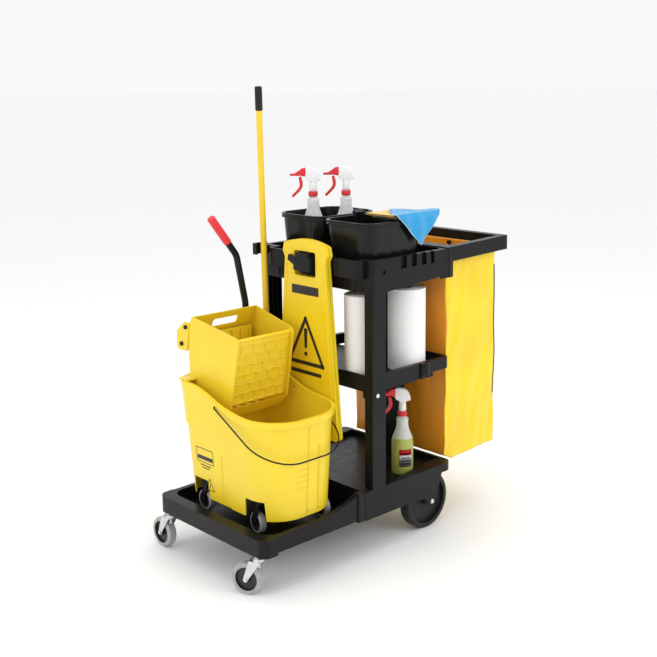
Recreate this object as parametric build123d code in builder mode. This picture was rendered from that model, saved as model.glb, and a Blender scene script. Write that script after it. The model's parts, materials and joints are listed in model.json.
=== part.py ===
"""Housekeeping cart with its mop bucket, wringer, floor sign, pails, bottles and paper rolls.

Millimetres. +Z up, floor at Z = 0. X runs along the cart, from the bucket platform (-X)
to the waste bag (+X). Y runs across it. The origin is on the floor at the cart's middle.
"""
import os
from math import cos, radians, sin, tan

from build123d import *

# ---------------------------------------------------------------- the cart, outside
HALF_LENGTH = 584
HALF_WIDTH = 276
WALL = 4

# front platform
PLATFORM_BOTTOM = 129
PLATFORM_FLOOR = 140
PLATFORM_EDGE = 186
PLATFORM_REAR = -152
WELL_FRONT = -545
WELL_HALF = 254

# rear deck
DECK_FRONT = -150
DECK_REAR = 232
DECK_TAIL = 282
DECK_BOTTOM = 126
DECK_FLOOR = 205
DECK_TOP = 224
FLANGE_BOTTOM = 194

# uprights
POST_FRONT = -117
POST_LENGTH = 62
POST_DEPTH = 36
COLUMN_FRONT = 205
COLUMN_REAR = 240
COLUMN_HALF = 80

# middle shelf
SHELF_BOTTOM = 550
SHELF_FLOOR = 576
SHELF_TOP = 605
SHELF_REAR = 271
SHELF_HALF = 266
SHELF_FRONT_HALF = 238

# top tray and bag frame
TRAY_BOTTOM = 878
TRAY_FLOOR = 948
TRAY_TOP = 986
TRAY_REAR = 246
BULGE_FRONT = -150
BULGE_BOTTOM = 925
FRAME_FRONT = 248
FRAME_BOTTOM = 939
FRAME_TOP = 989
FRAME_RISE = 11
FRAME_REAR = 577
MOUTH_FRONT = 295
RAIL = 28

# wheels
REAR_WHEEL_R = 101.5
REAR_WHEEL_X = 176
REAR_WHEEL_FACE = 256
REAR_WHEEL_WIDTH = 42
ARCH_R = 104
AXLE_R = 6.35
CASTER_R = 51
CASTER_WIDTH = 30
CASTER_TRAIL = 38
CASTER_X = -568
CASTER_Y = 234

# mop bucket
TUB_X = -366
TUB_Y = -14
TUB_BASE = (280, 438)
TUB_BOTTOM = 200
TUB_FLOOR = 262
TUB_DRAFT = 4.2
TUB_CORNERS = (108, 48)
RIM_FAR = 590
RIM_MID = 549
RIM_NEAR = 524
LIP_OUT = 8
LIP_TALL = 20
BUCKET_WHEEL_R = 35
BUCKET_TRAIL = 18
BUCKET_STEMS = ((-478, 130), (-478, -138), (-242, -150), (-242, 130))
BUCKET_SWIVELS = (88, 82, 262, 80)
BAIL_PIVOT = (-366, 9, 538)
BAIL_HALF = 177
BAIL_REACH = 310
BAIL_SAG = 28
BAIL_WIRE = 2.5

# wringer
WRINGER_LEFT = -500
WRINGER_RIGHT = -224
SHAFT_Y = 228
SHAFT_Z = 700
WRINGER_FLOOR = 476
WRINGER_FRONT = -46
WRINGER_FRONT_HALF = 115
WRINGER_BACK = 216
LEVER_X = -232
LEVER_R = 11.5
EAR_THICK = 8
PIN_Y = 203
PIN_Z = 759

# carried goods
SIGN_FRONT = -180
SIGN_Y = -25
SIGN_LEAF = 11
MOP_FOOT = (-163, 188, 141)
MOP_TOP = (-163, 217, 1532)
PAIL_SIZE = (286, 232)
PAIL_HEIGHT = 150
PAIL_BASE = TRAY_FLOOR + 0.3
NEAR_PAIL = (31, -138)
FAR_PAIL = (59, 121)
ROLL_R = 65
ROLL_HEIGHT = 280
ROLLS = {"near_paper_roll": (144, -181), "front_paper_roll": (-44, -163)}
SPRAY_HEADING = 136.5
BOTTLES = {
    "left_bottle": (-10, 118, PAIL_BASE + 4),
    "right_bottle": (98, 66, PAIL_BASE + 4),
    "deck_bottle": (113, -192, DECK_FLOOR + 0.3),
}

os.makedirs("parts", exist_ok=True)


def save(piece, name):
    """Label a finished piece and write it as one STEP file."""
    piece.part.label = name
    export_step(piece.part, f"parts/{name}.step")


def block(low, high, mode=Mode.ADD):
    """A box between two opposite corners, in the current builder."""
    centre = [(a + b) / 2 for a, b in zip(low, high)]
    size = [b - a for a, b in zip(low, high)]
    with Locations(tuple(centre)):
        Box(*size, mode=mode)


def rod(start, end, radius, mode=Mode.ADD):
    """A straight round bar from start to end, in the current builder."""
    run = Vector(*end) - Vector(*start)
    with BuildSketch(Plane(origin=start, z_dir=run)) as disc:
        Circle(radius)
    extrude(disc.sketch, amount=run.length, mode=mode)


# ================================================================= front platform
PILLAR_X = -166
with BuildPart() as front_platform:
    with BuildSketch(Plane.XY.offset(PLATFORM_BOTTOM)) as plan:
        with Locations(((PLATFORM_REAR - HALF_LENGTH) / 2, 0)):
            Rectangle(HALF_LENGTH + PLATFORM_REAR, 2 * HALF_WIDTH)
        fillet(plan.vertices().group_by(Axis.X)[0], 30)
    extrude(amount=DECK_TOP + 2 - PLATFORM_BOTTOM)
    # the side walls rise in a long curve towards the rear deck
    with BuildSketch(Plane.XZ):
        with BuildLine():
            edge = Line((-HALF_LENGTH, PLATFORM_EDGE), (-340, PLATFORM_EDGE + 3))
            ramp = TangentArc(edge @ 1, (-178, DECK_TOP + 2), tangent=(1, 0.01))
            Polyline(ramp @ 1, (-178, 260), (-HALF_LENGTH, 260), edge @ 0)
        make_face()
    extrude(amount=HALF_WIDTH + 5, both=True, mode=Mode.SUBTRACT)
    # the well that the bucket stands in
    with BuildSketch(Plane.XY.offset(PLATFORM_FLOOR)) as well:
        with Locations(((WELL_FRONT + PLATFORM_REAR) / 2, 0)):
            Rectangle(PLATFORM_REAR - WELL_FRONT, 2 * WELL_HALF)
        fillet(well.vertices().group_by(Axis.X)[0], 44)
    extrude(amount=120, mode=Mode.SUBTRACT)
    # side walls stand back a little between the corner block and the rear pillar
    for side in (-1, 1):
        with Locations((-354, side * HALF_WIDTH, 170)):
            Box(342, 8, 140, mode=Mode.SUBTRACT)
        with Locations((PILLAR_X, side * (HALF_WIDTH - 11), PLATFORM_BOTTOM)):
            Cylinder(11, DECK_TOP - PLATFORM_BOTTOM, align=(Align.CENTER, Align.CENTER, Align.MIN))
    # the side walls' lower edge steps up between the corner block and the pillar
    for side in (-1, 1):
        low_y, high_y = sorted((side * (WELL_HALF + 4), side * (HALF_WIDTH + 1)))
        block((-525, low_y, PLATFORM_BOTTOM - 1), (-183, high_y, PLATFORM_BOTTOM + 6), mode=Mode.SUBTRACT)
    # short feet of the moulding's ribs, under the front edge
    for rib_y in (-150, -90, -30, 30, 90, 150):
        block((-575, rib_y - 6, PLATFORM_BOTTOM - 6), (-530, rib_y + 6, PLATFORM_BOTTOM))
    fillet(front_platform.edges().filter_by(GeomType.LINE).filter_by(Axis.Y).group_by(Axis.Z)[-1], 2)
save(front_platform, "front_platform")

# ================================================================= rear deck
with BuildPart() as rear_deck:
    block((DECK_FRONT, -HALF_WIDTH, DECK_BOTTOM), (190, HALF_WIDTH, DECK_TOP))
    block((185, -HALF_WIDTH, FLANGE_BOTTOM), (DECK_REAR, HALF_WIDTH, DECK_TOP))
    with BuildSketch(Plane.XY.offset(FLANGE_BOTTOM)) as flange:
        with Locations(((DECK_REAR + DECK_TAIL) / 2 - 5, 0)):
            Rectangle(DECK_TAIL - DECK_REAR + 10, 2 * HALF_WIDTH)
        fillet(flange.vertices().group_by(Axis.X)[-1], 32)
    extrude(amount=DECK_TOP - FLANGE_BOTTOM)
    # side skirts reach down round the axle and back to the flange
    for side in (-1, 1):
        with BuildSketch(Plane.XZ.offset(-side * (HALF_WIDTH - WALL))):
            with BuildLine():
                Polyline(
                    (60, DECK_BOTTOM),
                    (140, DECK_BOTTOM - 6),
                    (164, 91),
                    (188, 91),
                    (226, FLANGE_BOTTOM),
                    (60, FLANGE_BOTTOM),
                    close=True,
                )
            make_face()
        extrude(amount=WALL, both=True)
    # open underneath
    block((DECK_FRONT + 6, -HALF_WIDTH + 8, 80), (DECK_REAR + 10, HALF_WIDTH - 8, FLANGE_BOTTOM),
          mode=Mode.SUBTRACT)
    # dished top with a raised rim, and pads for the posts
    with BuildSketch(Plane.XY.offset(DECK_FLOOR)) as dish:
        with Locations(((-42 + DECK_TAIL - 12) / 2, 0)):
            RectangleRounded(DECK_TAIL - 12 + 42, 2 * HALF_WIDTH - 28, 18)
        with Locations(((DECK_FRONT + 8 - 30) / 2, 0)):
            Rectangle(-30 - DECK_FRONT - 8, 2 * (HALF_WIDTH - 44))
        # a raised ledge over each rear wheel
        for side in (-1, 1):
            with BuildLine():
                Polyline(
                    (-62, side * 264),
                    (80, side * 243),
                    (207, side * 220),
                    (DECK_TAIL, side * 222),
                    (DECK_TAIL, side * 268),
                    (-62, side * 268),
                    close=True,
                )
            make_face(mode=Mode.SUBTRACT)
    extrude(amount=60, mode=Mode.SUBTRACT)
    # low arches over the tops of the rear wheels, closed at both ends
    for side in (-1, 1):
        with BuildSketch(Plane.XZ.offset(-side * 206)) as arch:
            with Locations((REAR_WHEEL_X, REAR_WHEEL_R)):
                Circle(ARCH_R + WALL)
            with Locations((REAR_WHEEL_X, FLANGE_BOTTOM - 150)):
                Rectangle(300, 300, mode=Mode.SUBTRACT)
        extrude(arch.sketch, amount=-side * 56)
        rod((REAR_WHEEL_X, side * 208, REAR_WHEEL_R), (REAR_WHEEL_X, side * 260, REAR_WHEEL_R),
            ARCH_R, mode=Mode.SUBTRACT)
    for side in (-1, 1):
        rod((REAR_WHEEL_X, side * 260, REAR_WHEEL_R), (REAR_WHEEL_X, side * 290, REAR_WHEEL_R),
            AXLE_R + 0.1, mode=Mode.SUBTRACT)
        rod((REAR_WHEEL_X, side * 272, REAR_WHEEL_R), (REAR_WHEEL_X, side * 290, REAR_WHEEL_R),
            11, mode=Mode.SUBTRACT)
    for side in (-1, 1):
        with Locations((262, side * 225, DECK_TOP)):
            Cylinder(4, 40, mode=Mode.SUBTRACT)
save(rear_deck, "rear_deck")


# ================================================================= uprights
POST_TOP = TRAY_BOTTOM
BOLT_X = -95
BOLT_Z = 541


def make_post(side):
    """Channel post, open towards the cart's middle, with ribs inside."""
    outer = side * HALF_WIDTH
    inner = side * (HALF_WIDTH - POST_DEPTH)
    web = side * (HALF_WIDTH - WALL)
    rear = POST_FRONT + POST_LENGTH
    with BuildPart() as post:
        block((POST_FRONT, min(outer, inner), DECK_TOP), (rear, max(outer, inner), POST_TOP))
        fillet(post.edges().filter_by(Axis.Z).filter_by_position(Axis.Y, outer - 1, outer + 1), 3)
        pocket_width = (POST_LENGTH - 4 * WALL) / 3
        for step in range(3):
            left = POST_FRONT + WALL + step * (pocket_width + WALL)
            block((left, min(web, inner), DECK_TOP - 1), (left + pocket_width, max(web, inner), POST_TOP + 1),
                  mode=Mode.SUBTRACT)
        shelf_gap = 90
        level = DECK_TOP + 10
        while level < POST_TOP:
            block((POST_FRONT + 1, min(web, inner + side * 8), level),
                  (rear - 1, max(web, inner + side * 8), level + 3))
            level += shelf_gap
        rod((BOLT_X, outer - side * 60, BOLT_Z), (BOLT_X, outer + side * 5, BOLT_Z), 3.2, mode=Mode.SUBTRACT)
    return post


save(make_post(-1), "near_post")
save(make_post(1), "far_post")

with BuildPart() as rear_column:
    block((COLUMN_FRONT, -COLUMN_HALF, DECK_FLOOR), (COLUMN_REAR, COLUMN_HALF, TRAY_FLOOR - WALL))
    cell = (2 * COLUMN_HALF - 5 * WALL) / 4
    for step in range(4):
        low_y = -COLUMN_HALF + WALL + step * (cell + WALL)
        block((COLUMN_FRONT + WALL, low_y, DECK_FLOOR - 1), (COLUMN_REAR + 1, low_y + cell, TRAY_FLOOR),
              mode=Mode.SUBTRACT)
    fillet(rear_column.edges().filter_by(Axis.Z).filter_by_position(
        Axis.X, COLUMN_FRONT - 1, COLUMN_FRONT + 1), 3)
save(rear_column, "rear_column")

# ================================================================= middle shelf
RECESS_X = (99, 128)
LUG_X = 150
with BuildPart() as middle_shelf:
    with BuildSketch(Plane.XY.offset(SHELF_BOTTOM)) as shelf_plan:
        with Locations(((SHELF_REAR - 53) / 2, 0)):
            Rectangle(SHELF_REAR + 53, 2 * SHELF_HALF)
        fillet(shelf_plan.vertices().group_by(Axis.X)[-1], 18)
        with Locations(((-53 - 116) / 2, 0)):
            Rectangle(63, 2 * SHELF_FRONT_HALF)
    extrude(amount=SHELF_TOP - SHELF_BOTTOM)
    # a round lug on each side, beside a short recess in the wall
    for side in (-1, 1):
        with Locations((LUG_X, side * (SHELF_HALF - 14), (SHELF_TOP + 564) / 2)):
            Cylinder(24, SHELF_TOP - 564)
    for side in (-1, 1):
        with Locations((sum(RECESS_X) / 2, side * (SHELF_HALF + 6), 580)):
            Box(RECESS_X[1] - RECESS_X[0], 24, 80, mode=Mode.SUBTRACT)
    # dished top
    with BuildSketch(Plane.XY.offset(SHELF_FLOOR)):
        with Locations(((SHELF_REAR - 6 - 48) / 2, 0)):
            RectangleRounded(SHELF_REAR - 6 + 48, 2 * (SHELF_HALF - 18), 16)
        with Locations(((-40 - 110) / 2, 0)):
            Rectangle(70, 2 * (SHELF_FRONT_HALF - 6))
    extrude(amount=60, mode=Mode.SUBTRACT)
    # open underneath, and lighter behind the column
    block((-110, -SHELF_FRONT_HALF + 6, 500), (180, SHELF_FRONT_HALF - 6, SHELF_FLOOR - WALL),
          mode=Mode.SUBTRACT)
    block((186, -300, 500), (300, 300, 565), mode=Mode.SUBTRACT)
    block((190, -SHELF_HALF + 6, 500), (SHELF_REAR - 6, SHELF_HALF - 6, SHELF_FLOOR - WALL),
          mode=Mode.SUBTRACT)
    # the rear column passes through a notch
    block((COLUMN_FRONT - 1, -COLUMN_HALF - 1, 500), (300, COLUMN_HALF + 1, 700), mode=Mode.SUBTRACT)
    # ears that the posts are bolted to
    for side in (-1, 1):
        ear_low, ear_high = sorted((side * 224, side * 239.5))
        block((BOLT_X - 15, ear_low, 526), (BOLT_X + 15, ear_high, 552))
        rod((BOLT_X, side * 200, BOLT_Z), (BOLT_X, side * 260, BOLT_Z), 3.2, mode=Mode.SUBTRACT)
    # finger hole at each rear corner
    for side in (-1, 1):
        with Locations((225, side * 205, SHELF_FLOOR)):
            Cylinder(26, 40, mode=Mode.SUBTRACT)
save(middle_shelf, "middle_shelf")

# ================================================================= top tray
NOTCHES = ((12, 43), (65, 91), (114, 138), (160, 177))
SOCKET_FRONT = 213
SOCKET_REAR = 274
SOCKET_INNER = 244
SOCKET_BOTTOM = 886
SIDE_WALL_INNER = 258
LUG = (257, 261, 17)


def frame_rise(x):
    """How much higher the bag frame is at this X than at its front end."""
    return FRAME_RISE * (x - FRAME_FRONT) / (FRAME_REAR - FRAME_FRONT)


with BuildPart() as whole_tray:
    with BuildSketch(Plane.XY.offset(TRAY_BOTTOM)) as tray_plan:
        with Locations(((TRAY_REAR + POST_FRONT) / 2, 0)):
            Rectangle(TRAY_REAR - POST_FRONT, 2 * HALF_WIDTH)
        fillet(tray_plan.vertices().group_by(Axis.X)[0], 12)
    extrude(amount=TRAY_TOP - TRAY_BOTTOM)
    # the front rail bulges forward, with rounded ends
    with BuildSketch(Plane.XY.offset(BULGE_BOTTOM)) as bulge:
        with Locations(((BULGE_FRONT - 100) / 2, -20)):
            Rectangle(-100 - BULGE_FRONT, 450)
        fillet(bulge.vertices().group_by(Axis.X)[0], 22)
    extrude(amount=TRAY_TOP - BULGE_BOTTOM)
    # a vertical flute runs down from each end of the bulge
    for flute_y in (-222, -190, 182):
        with Locations((POST_FRONT + 2, flute_y, (TRAY_BOTTOM + BULGE_BOTTOM) / 2 + 4)):
            Cylinder(7, BULGE_BOTTOM - TRAY_BOTTOM - 8)
    # underside rises towards the rear
    with BuildSketch(Plane.XZ):
        with BuildLine():
            Polyline((-50, TRAY_BOTTOM - 20), (-50, TRAY_BOTTOM), (TRAY_REAR + 5, TRAY_BOTTOM + 19),
                     (TRAY_REAR + 5, TRAY_BOTTOM - 20), close=True)
        make_face()
    extrude(amount=HALF_WIDTH + 5, both=True, mode=Mode.SUBTRACT)
    # sockets that carry the bag frame
    for side in (-1, 1):
        socket_low, socket_high = sorted((side * SOCKET_INNER, side * HALF_WIDTH))
        block((SOCKET_FRONT, socket_low, SOCKET_BOTTOM), (SOCKET_REAR, socket_high, FRAME_BOTTOM + 3))
        rod((LUG[0], side * LUG[1], SOCKET_BOTTOM), (LUG[0], side * LUG[1], FRAME_BOTTOM + 3), LUG[2])
    # the bag frame's sloping underside rests on the sockets
    with BuildSketch(Plane.XZ):
        with BuildLine():
            Polyline(
                (TRAY_REAR, FRAME_BOTTOM + frame_rise(TRAY_REAR)),
                (SOCKET_REAR + 9, FRAME_BOTTOM + frame_rise(SOCKET_REAR + 9)),
                (SOCKET_REAR + 9, FRAME_BOTTOM + 30),
                (TRAY_REAR, FRAME_BOTTOM + 30),
                close=True,
            )
        make_face()
    extrude(amount=HALF_WIDTH + 9, both=True, mode=Mode.SUBTRACT)
    # well from above and hollow from below
    with BuildSketch(Plane.XY.offset(TRAY_FLOOR)) as tray_well:
        with Locations(((-100 + TRAY_REAR - 8) / 2, 0)):
            RectangleRounded(TRAY_REAR - 8 + 100, 2 * (HALF_WIDTH - 18), 26)
        with Locations((-119, -20)):
            RectangleRounded(50, 420, 12)
    extrude(amount=60, mode=Mode.SUBTRACT)
    block((POST_FRONT + 5, -HALF_WIDTH + 6, 800), (TRAY_REAR - 5, HALF_WIDTH - 6, TRAY_FLOOR - WALL),
          mode=Mode.SUBTRACT)
    # tool notches, a hole and a long shallow panel on each side wall
    for side in (-1, 1):
        for left, right in NOTCHES:
            block((left, min(side * (HALF_WIDTH - 12), side * 290), 946),
                  (right, max(side * (HALF_WIDTH - 12), side * 290), 1000), mode=Mode.SUBTRACT)
        rod((-64, side * 266, 943), (-64, side * 290, 943), 7, mode=Mode.SUBTRACT)


def side_strip(side):
    """The space one side wall of the tray takes up, with its socket."""
    with BuildPart() as strip:
        low_y, high_y = sorted((side * SIDE_WALL_INNER, side * (HALF_WIDTH + 9)))
        block((POST_FRONT - 1, low_y, TRAY_BOTTOM - 1), (TRAY_REAR, high_y, TRAY_TOP + 1))
        low_y, high_y = sorted((side * SOCKET_INNER, side * (HALF_WIDTH + 9)))
        block((SOCKET_FRONT, low_y, SOCKET_BOTTOM), (SOCKET_REAR + 9, high_y, TRAY_FLOOR - WALL))
    return strip.part


for side, name in ((-1, "near_tray_wall"), (1, "far_tray_wall")):
    with BuildPart() as tray_wall:
        add(whole_tray.part)
        add(side_strip(side), mode=Mode.INTERSECT)
    save(tray_wall, name)

with BuildPart() as top_tray:
    add(whole_tray.part)
    for side in (-1, 1):
        add(side_strip(side), mode=Mode.SUBTRACT)
save(top_tray, "top_tray")

# ================================================================= bag frame
def frame_slice(low, high):
    """The sloping layer between two heights, given at the frame's front end."""
    front = FRAME_FRONT - 20
    rear = FRAME_REAR + 20
    with BuildPart() as layer:
        with BuildSketch(Plane.XZ):
            with BuildLine():
                Polyline(
                    (front, low + frame_rise(front)),
                    (rear, low + frame_rise(rear)),
                    (rear, high + frame_rise(rear)),
                    (front, high + frame_rise(front)),
                    close=True,
                )
            make_face()
        extrude(amount=HALF_WIDTH + 20, both=True)
    return layer.part


FRAME_SKIN = 3
with BuildPart() as bag_frame:
    with BuildSketch(Plane.XY.offset(FRAME_BOTTOM - 20)) as frame_plan:
        with Locations(((FRAME_FRONT + FRAME_REAR) / 2, 0)):
            Rectangle(FRAME_REAR - FRAME_FRONT, 2 * HALF_WIDTH)
        fillet(frame_plan.vertices().group_by(Axis.X)[-1], 9)
        with Locations(((MOUTH_FRONT + FRAME_REAR - RAIL) / 2, 0)):
            Rectangle(FRAME_REAR - RAIL - MOUTH_FRONT, 2 * (HALF_WIDTH - RAIL), mode=Mode.SUBTRACT)
    extrude(amount=FRAME_TOP - FRAME_BOTTOM + 60)
    add(frame_slice(FRAME_BOTTOM, FRAME_TOP), mode=Mode.INTERSECT)
    fillet(bag_frame.edges().group_by(Axis.Z)[-1], 2)
    # the rails are channels, open underneath
    with BuildPart(mode=Mode.PRIVATE) as channel:
        with BuildSketch(Plane.XY.offset(FRAME_BOTTOM - 20)):
            with Locations(((FRAME_FRONT + FRAME_REAR) / 2, 0)):
                Rectangle(FRAME_REAR - FRAME_FRONT - 2 * FRAME_SKIN, 2 * (HALF_WIDTH - FRAME_SKIN))
            with Locations(((MOUTH_FRONT + FRAME_REAR - RAIL) / 2, 0)):
                Rectangle(FRAME_REAR - RAIL - MOUTH_FRONT + 2 * FRAME_SKIN,
                          2 * (HALF_WIDTH - RAIL + FRAME_SKIN), mode=Mode.SUBTRACT)
        extrude(amount=FRAME_TOP - FRAME_BOTTOM + 60)
        add(frame_slice(FRAME_BOTTOM - 20, FRAME_TOP - WALL), mode=Mode.INTERSECT)
    add(channel.part, mode=Mode.SUBTRACT)
    # a round lug stands over each socket
    for side in (-1, 1):
        rod((LUG[0], side * LUG[1], FRAME_BOTTOM + 1), (LUG[0], side * LUG[1], 966), LUG[2])
    block((FRAME_FRONT - 20, -300, 900), (FRAME_FRONT, 300, 1020), mode=Mode.SUBTRACT)
save(bag_frame, "bag_frame")

# ================================================================= waste bag
BAG_TOP = 970
BAG_WALL = 3
SIDE_PEG = (412, 948)
REAR_PEG = (-29, 953)
with BuildPart() as waste_bag:
    with BuildSketch(Plane.XY.offset(200)):
        with BuildLine():
            Polyline((262, -240), (400, -246), (600, -246), (600, 246), (400, 246), (262, 240), close=True)
        make_face()
    extrude(amount=BAG_TOP - 200)
    with BuildSketch(Plane.XZ) as bag_side:
        with BuildLine():
            Polyline(
                (299, BAG_TOP), (546, BAG_TOP), (548, 900), (556, 228), (400, 222),
                (314, 214), (290, 230), (277, 242), (272, 600), (273, 905), (297, 935), close=True,
            )
        make_face()
    extrude(amount=260, both=True, mode=Mode.INTERSECT)
    offset(amount=-BAG_WALL, openings=waste_bag.faces().sort_by(Axis.Z)[-1], kind=Kind.INTERSECTION)
    for side in (-1, 1):
        rod((SIDE_PEG[0], side * 225, SIDE_PEG[1]), (SIDE_PEG[0], side * 260, SIDE_PEG[1]), 4.4,
            mode=Mode.SUBTRACT)
    rod((530, *REAR_PEG), (560, *REAR_PEG), 4.4, mode=Mode.SUBTRACT)
save(waste_bag, "waste_bag")

with BuildPart() as bag_pegs:
    for side in (-1, 1):
        rod((SIDE_PEG[0], side * 236, SIDE_PEG[1]), (SIDE_PEG[0], side * (HALF_WIDTH - RAIL), SIDE_PEG[1]), 4)
        rod((SIDE_PEG[0], side * 232, SIDE_PEG[1]), (SIDE_PEG[0], side * 238, SIDE_PEG[1]), 6.5)
    rod((536, *REAR_PEG), (FRAME_REAR - RAIL, *REAR_PEG), 4)
    rod((533, *REAR_PEG), (538, *REAR_PEG), 6.5)
save(bag_pegs, "bag_pegs")

# ================================================================= tray hooks
with BuildPart() as mop_holder:
    block((-180, 242, 959), (POST_FRONT, 248, 998))
    block((-180, 226, 959), (-174, 248, 998))
    block((-130, 232, 959), (POST_FRONT, 258, 986))
    fillet(mop_holder.edges().filter_by(Axis.Z).filter_by_position(Axis.X, -181, -179)
           .filter_by_position(Axis.Y, 246, 250), 4)
save(mop_holder, "mop_holder")

HOOK_TOP = 993
with BuildPart() as sign_hook:
    block((-196, -66, 934), (BULGE_FRONT, 14, 978))
    with BuildSketch(Plane.YZ.offset(-196)):
        with BuildLine():
            Polyline((-60, 978), (6, 978), (0, HOOK_TOP), (-54, HOOK_TOP), close=True)
        make_face()
    extrude(amount=BULGE_FRONT + 196)
    with BuildSketch(Plane.YZ.offset(-196)):
        with BuildLine():
            Polyline((10, 950), (10, 976), (38, 984), (44, 966), close=True)
        make_face()
    extrude(amount=12)
save(sign_hook, "sign_hook")

# ================================================================= fasteners of the frame
with BuildPart() as post_bolts:
    for side in (-1, 1):
        rod((BOLT_X, side * 226, BOLT_Z), (BOLT_X, side * (HALF_WIDTH + 0.01), BOLT_Z), 3)
        rod((BOLT_X, side * HALF_WIDTH, BOLT_Z), (BOLT_X, side * (HALF_WIDTH + 2.5), BOLT_Z), 7)
save(post_bolts, "post_bolts")

# ================================================================= rear axle and wheels
with BuildPart() as rear_axle:
    rod((REAR_WHEEL_X, -271.9, REAR_WHEEL_R), (REAR_WHEEL_X, 271.9, REAR_WHEEL_R), AXLE_R)
save(rear_axle, "rear_axle")

with BuildPart() as axle_nuts:
    for side in (-1, 1):
        with BuildSketch(Plane(origin=(REAR_WHEEL_X, side * 272, REAR_WHEEL_R), z_dir=(0, side, 0))):
            RegularPolygon(9, 6)
        extrude(amount=4.5)
        rod((REAR_WHEEL_X, side * 276.5, REAR_WHEEL_R), (REAR_WHEEL_X, side * 279.5, REAR_WHEEL_R), 6)
save(axle_nuts, "axle_nuts")


def make_rear_wheel(side):
    """Moulded wheel: tread, rim, five spokes and a long hub."""
    outer = side * REAR_WHEEL_FACE
    inner = side * (REAR_WHEEL_FACE - REAR_WHEEL_WIDTH)
    centre_y = (outer + inner) / 2
    hub = Plane(origin=(REAR_WHEEL_X, centre_y, REAR_WHEEL_R), z_dir=(0, 1, 0))
    with BuildPart() as wheel:
        with BuildSketch(hub):
            Circle(REAR_WHEEL_R)
        extrude(amount=REAR_WHEEL_WIDTH / 2, both=True)
        fillet(wheel.edges().filter_by(GeomType.CIRCLE), 7)
        # dish each face, leaving a web between hub and rim
        for face in (-1, 1):
            with BuildSketch(hub.offset(face * 5)):
                Circle(84)
                Circle(20, mode=Mode.SUBTRACT)
            extrude(amount=face * REAR_WHEEL_WIDTH, mode=Mode.SUBTRACT)
        # windows between five spokes
        with BuildSketch(hub):
            with PolarLocations(0, 5):
                with BuildLine():
                    arc_out = CenterArc((0, 0), 74, 12, 44)
                    arc_in = CenterArc((0, 0), 34, 18, 32)
                    Line(arc_out @ 0, arc_in @ 0)
                    Line(arc_out @ 1, arc_in @ 1)
                make_face()
        extrude(amount=20, both=True, mode=Mode.SUBTRACT)
        with BuildSketch(hub):
            Circle(18)
        extrude(amount=REAR_WHEEL_WIDTH / 2 + 3, both=True)
        with BuildSketch(hub):
            Circle(AXLE_R + 0.1)
        extrude(amount=REAR_WHEEL_WIDTH, both=True, mode=Mode.SUBTRACT)
    return wheel


save(make_rear_wheel(-1), "near_rear_wheel")
save(make_rear_wheel(1), "far_rear_wheel")


# ================================================================= front casters
def make_fork(stem, heading, top, axle_z, trail, gap, plate, width_top, width_low):
    """Caster fork: a turned head, a bridge and two legs leaning back to the axle."""
    x, y = stem
    back = (cos(radians(heading)), sin(radians(heading)), 0)
    side_dir = (back[1], -back[0], 0)
    bridge_z = top - 8
    with BuildPart() as fork:
        with BuildSketch(Plane.XY.offset(bridge_z)):
            with Locations((x, y)):
                Circle(width_top / 2)
        extrude(amount=top - bridge_z)
        seat = Plane(origin=(x, y, bridge_z - plate), x_dir=back, z_dir=(0, 0, 1))
        with BuildSketch(seat):
            with Locations((trail * 0.15, 0)):
                RectangleRounded(width_top + 4, gap + 2 * plate, 6)
        extrude(amount=plate)
        for side in (-1, 1):
            start = Vector(x, y, 0) + Vector(*side_dir) * (side * gap / 2)
            leg = Plane(origin=(start.X, start.Y, 0), x_dir=back, z_dir=side_dir)
            with BuildSketch(leg):
                with BuildLine():
                    Polyline(
                        (-width_top / 2 + 4, bridge_z),
                        (width_top / 2 + 6, bridge_z),
                        (trail + width_low / 2, axle_z),
                        (trail - width_low / 2, axle_z),
                        close=True,
                    )
                make_face()
                with Locations((trail, axle_z)):
                    Circle(width_low / 2)
            extrude(amount=side * plate)
        # the axle bolt, with its head and nut outside the legs
        hub = Vector(x, y, axle_z) + Vector(*back) * trail
        reach = Vector(*side_dir) * (gap / 2 + plate + 3)
        rod(tuple(hub - reach), tuple(hub + reach), 4)
        for side in (-1, 1):
            cap = Vector(*side_dir) * side
            rod(tuple(hub + cap * (gap / 2 + plate)), tuple(hub + cap * (gap / 2 + plate + 3)), 6)
    return fork


def make_caster_wheel(stem, heading, trail, radius, width, bore, hub_radius, hub_width):
    """Caster wheel with a crowned tyre and a dished hub."""
    back = Vector(cos(radians(heading)), sin(radians(heading)), 0)
    centre = Vector(stem[0], stem[1], radius if len(stem) == 2 else stem[2]) + back * trail
    hub = Plane(origin=tuple(centre), z_dir=(back.Y, -back.X, 0))
    with BuildPart() as wheel:
        with BuildSketch(hub):
            Circle(radius)
        extrude(amount=width / 2, both=True)
        fillet(wheel.edges().filter_by(GeomType.CIRCLE), width * 0.22)
        for face in (-1, 1):
            with BuildSketch(hub.offset(face * width * 0.28)):
                Circle(hub_radius)
                Circle(hub_radius * 0.35, mode=Mode.SUBTRACT)
            extrude(amount=face * width, mode=Mode.SUBTRACT)
        with BuildSketch(hub):
            Circle(hub_radius * 0.35)
        extrude(amount=hub_width / 2, both=True)
        with BuildSketch(hub):
            Circle(bore)
        extrude(amount=width, both=True, mode=Mode.SUBTRACT)
    return wheel


CASTER_HEADINGS = {"near": (-1, 113), "far": (1, 90)}
CASTER_GAP = 34
PLATE_BOTTOM = 123
with BuildPart() as caster_plates:
    for side in (-1, 1):
        rod((CASTER_X, side * CASTER_Y, PLATE_BOTTOM), (CASTER_X, side * CASTER_Y, PLATFORM_BOTTOM), 15)
        rod((CASTER_X, side * CASTER_Y, 90), (CASTER_X, side * CASTER_Y, PLATE_BOTTOM + 0.01), 5)
save(caster_plates, "caster_plates")

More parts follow.
